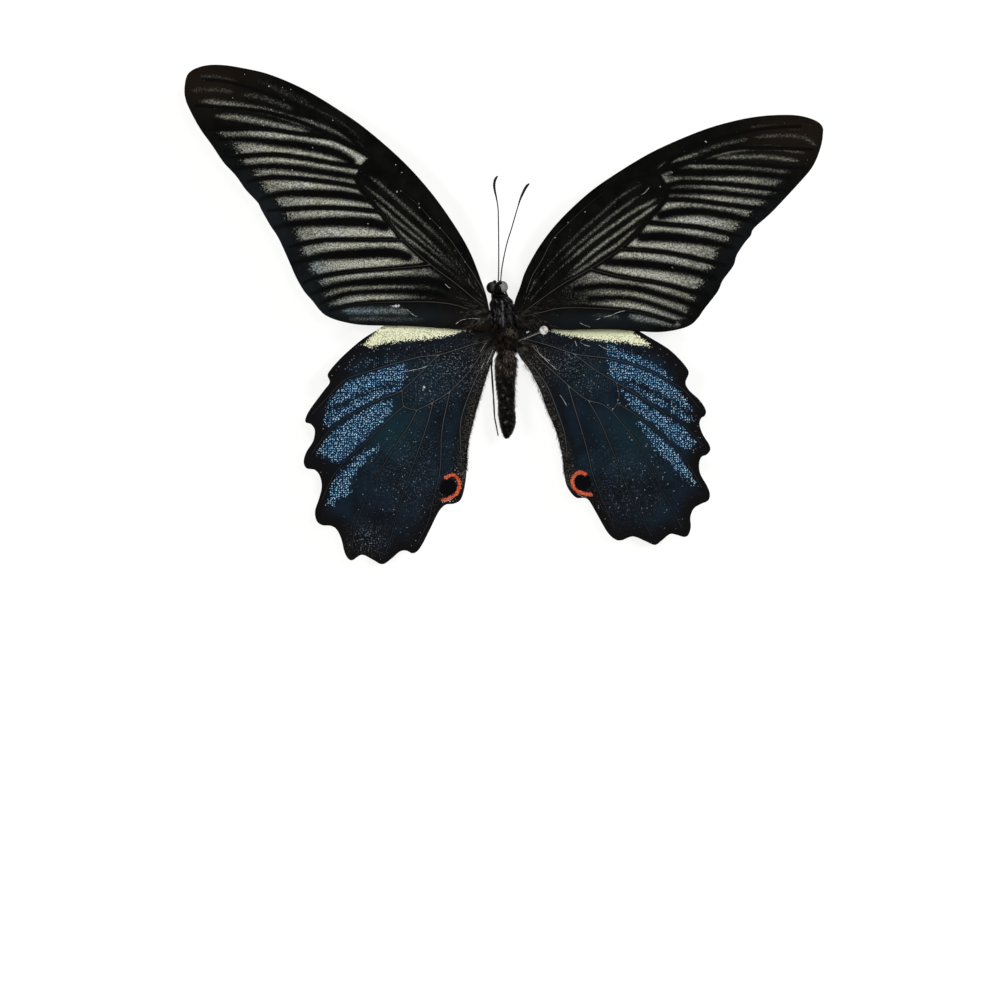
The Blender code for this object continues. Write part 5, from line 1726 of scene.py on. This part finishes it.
class DressDust(PieceOperator, bpy.types.Operator):
    """Lay the flecks, threads and scratches on the wings"""
    bl_idname = "butterfly.dust"
    bl_label = "Dust"

    def execute(self, context):
        dust = plain_material("dust, dry lint", linear("#c9cccf"), 0.8, 0.6, 0.4 * MM)
        generator = np.random.default_rng(21)
        for kind, specks, threads, outlines, root_height, droop, count in (
                ("forewing", FOREWING_SPECKS, FOREWING_THREADS, (LEFT_FOREWING, RIGHT_FOREWING),
                 FOREWING_HEIGHT, 0, 150),
                ("hindwing", HINDWING_SPECKS, HINDWING_THREADS, (LEFT_HINDWING, RIGHT_HINDWING),
                 HINDWING_HEIGHT, TAIL_DROOP, 240)):
            chosen = np.array(specks)
            flat = [place(chosen[:, :2])]
            sizes = [chosen[:, 2] * GRID]
            for outline in outlines:
                border = place(smooth_path(outline, 2, closed=True))
                low, high = border.min(axis=0), border.max(axis=0)
                tries = generator.uniform(low, high, (count * 3, 2))
                tries = tries[depth_inside(tries, border) > 0.001][:count]
                flat.append(tries)
                sizes.append(generator.uniform(.01, .035, len(tries)) * MM)
            flat = np.vstack(flat)
            height = sheet_height(flat, root_height, droop) + FLECK_LIFT
            mesh = fleck_mesh(f"{kind}_flecks", np.column_stack((flat, height)),
                              np.concatenate(sizes), generator)
            add_piece(f"{kind}_flecks", mesh, [dust])
            tubes = []
            for thread in threads:
                path = place(smooth_path(thread, 8))
                path += generator.normal(0, .012 * MM, path.shape)
                height = sheet_height(path, root_height, droop) + THREAD_LIFT
                thin = generator.uniform(.000008, .00005, len(path))
                tubes.append(tube_rings(np.column_stack((path, height)), thin, thin, 6))
            add_piece(f"{kind}_threads", joined_tubes(f"{kind}_threads", tubes), [dust])
        return {"FINISHED"}


class SetStage(PieceOperator, bpy.types.Operator):
    """Set the pale floor, the soft lights and the camera straight above"""
    bl_idname = "butterfly.stage"
    bl_label = "Floor, lights and camera"

    def execute(self, context):
        looks = context.scene.stage_settings
        scene = context.scene
        corners = [(x * FLOOR_HALF, y * FLOOR_HALF, -FLOOR_DROP)
                   for x, y in ((-1, -1), (1, -1), (1, 1), (-1, 1))]
        floor = bpy.data.objects.new("floor", make_mesh("floor", corners, [(0, 1, 2, 3)]))
        scene.collection.objects.link(floor)
        glass, tree, shader = start_material("opal glass, matt, lit from behind")
        # Lit from behind like a light table: white all round, with only a breath of shadow
        finish_shader(tree, shader, {}, {
            "Base Color": looks.floor, "Roughness": 0.9, "Specular IOR Level": 0.1,
            "Emission Color": looks.floor_light, "Emission Strength": looks.floor_glow})
        floor.data.materials.append(glass)

        for name, spot, size, share in SOFTBOXES:
            lamp = bpy.data.lights.new(name, "AREA")
            lamp.energy = looks.light * share
            lamp.size = size
            holder = bpy.data.objects.new(name, lamp)
            holder.location = spot
            holder.rotation_euler = Vector(spot).to_track_quat("Z", "Y").to_euler()
            holder.visible_camera = False
            scene.collection.objects.link(holder)

        # A room that is bright at the horizon and dim overhead, so that dark shell stays dark
        world = bpy.data.worlds.new("soft room")
        world.use_nodes = True
        sky = world.node_tree
        height = add_node(sky, "SeparateXYZ",
                          links={0: add_node(sky, "TexCoord").outputs["Generated"]})
        bright = add_node(sky, "MapRange", {1: 0.05, 2: 0.30, 3: 0.95, 4: 0.08},
                          {0: height.outputs["Z"]}, interpolation_type="SMOOTHSTEP")
        sky.links.new(bright.outputs[0], sky.nodes["Background"].inputs["Strength"])
        sky.nodes["Background"].inputs["Color"].default_value = linear("#ffffff")
        scene.world = world

        camera = bpy.data.cameras.new("camera above")
        camera.sensor_width = 36
        camera.lens = looks.lens
        holder = bpy.data.objects.new("camera above", camera)
        holder.location = (*place(CAMERA_PLACE), looks.camera_height)
        scene.collection.objects.link(holder)
        scene.camera = holder
        scene.view_settings.view_transform = "Standard"
        return {"FINISHED"}


OPERATORS = (SetStage, DressForewings, DressHindwings, DressBody, DressHead, DressAntennae,
             DressLegs,
             DressPin, DressHair, DressDust)
SETTINGS = {
    "wing_settings": WingSettings, "forewing_settings": ForewingSettings,
    "hindwing_settings": HindwingSettings, "body_settings": BodySettings,
    "pin_settings": PinSettings,
    "stage_settings": StageSettings,
}


class ButterflyPanel(bpy.types.Panel):
    """List the pieces in the sidebar"""
    bl_idname = "VIEW3D_PT_butterfly"
    bl_label = "Pinned butterfly"
    bl_space_type = "VIEW_3D"
    bl_region_type = "UI"
    bl_category = "Butterfly"

    def draw(self, context):
        for operator in OPERATORS:
            self.layout.operator(operator.bl_idname)
        for name, group in SETTINGS.items():
            box = self.layout.box()
            settings = getattr(context.scene, name)
            for key in group.__annotations__:
                box.prop(settings, key)


def register():
    """Register the settings, the operators and the panel."""
    for name, group in SETTINGS.items():
        bpy.utils.register_class(group)
        setattr(bpy.types.Scene, name, bpy.props.PointerProperty(type=group))
    for operator in OPERATORS:
        bpy.utils.register_class(operator)
    bpy.utils.register_class(ButterflyPanel)


def unregister():
    """Take the panel, the operators and the settings away again."""
    bpy.utils.unregister_class(ButterflyPanel)
    for operator in reversed(OPERATORS):
        bpy.utils.unregister_class(operator)
    for name, group in reversed(SETTINGS.items()):
        delattr(bpy.types.Scene, name)
        bpy.utils.unregister_class(group)


def main():
    """Register the add-on and build every piece in order."""
    register()
    bpy.ops.butterfly.stage()
    bpy.ops.butterfly.forewings()
    bpy.ops.butterfly.hindwings()
    bpy.ops.butterfly.body()
    bpy.ops.butterfly.head()
    bpy.ops.butterfly.antennae()
    bpy.ops.butterfly.legs()
    bpy.ops.butterfly.pin()
    bpy.ops.butterfly.hair()
    bpy.ops.butterfly.dust()


if __name__ == "__main__":
    main()
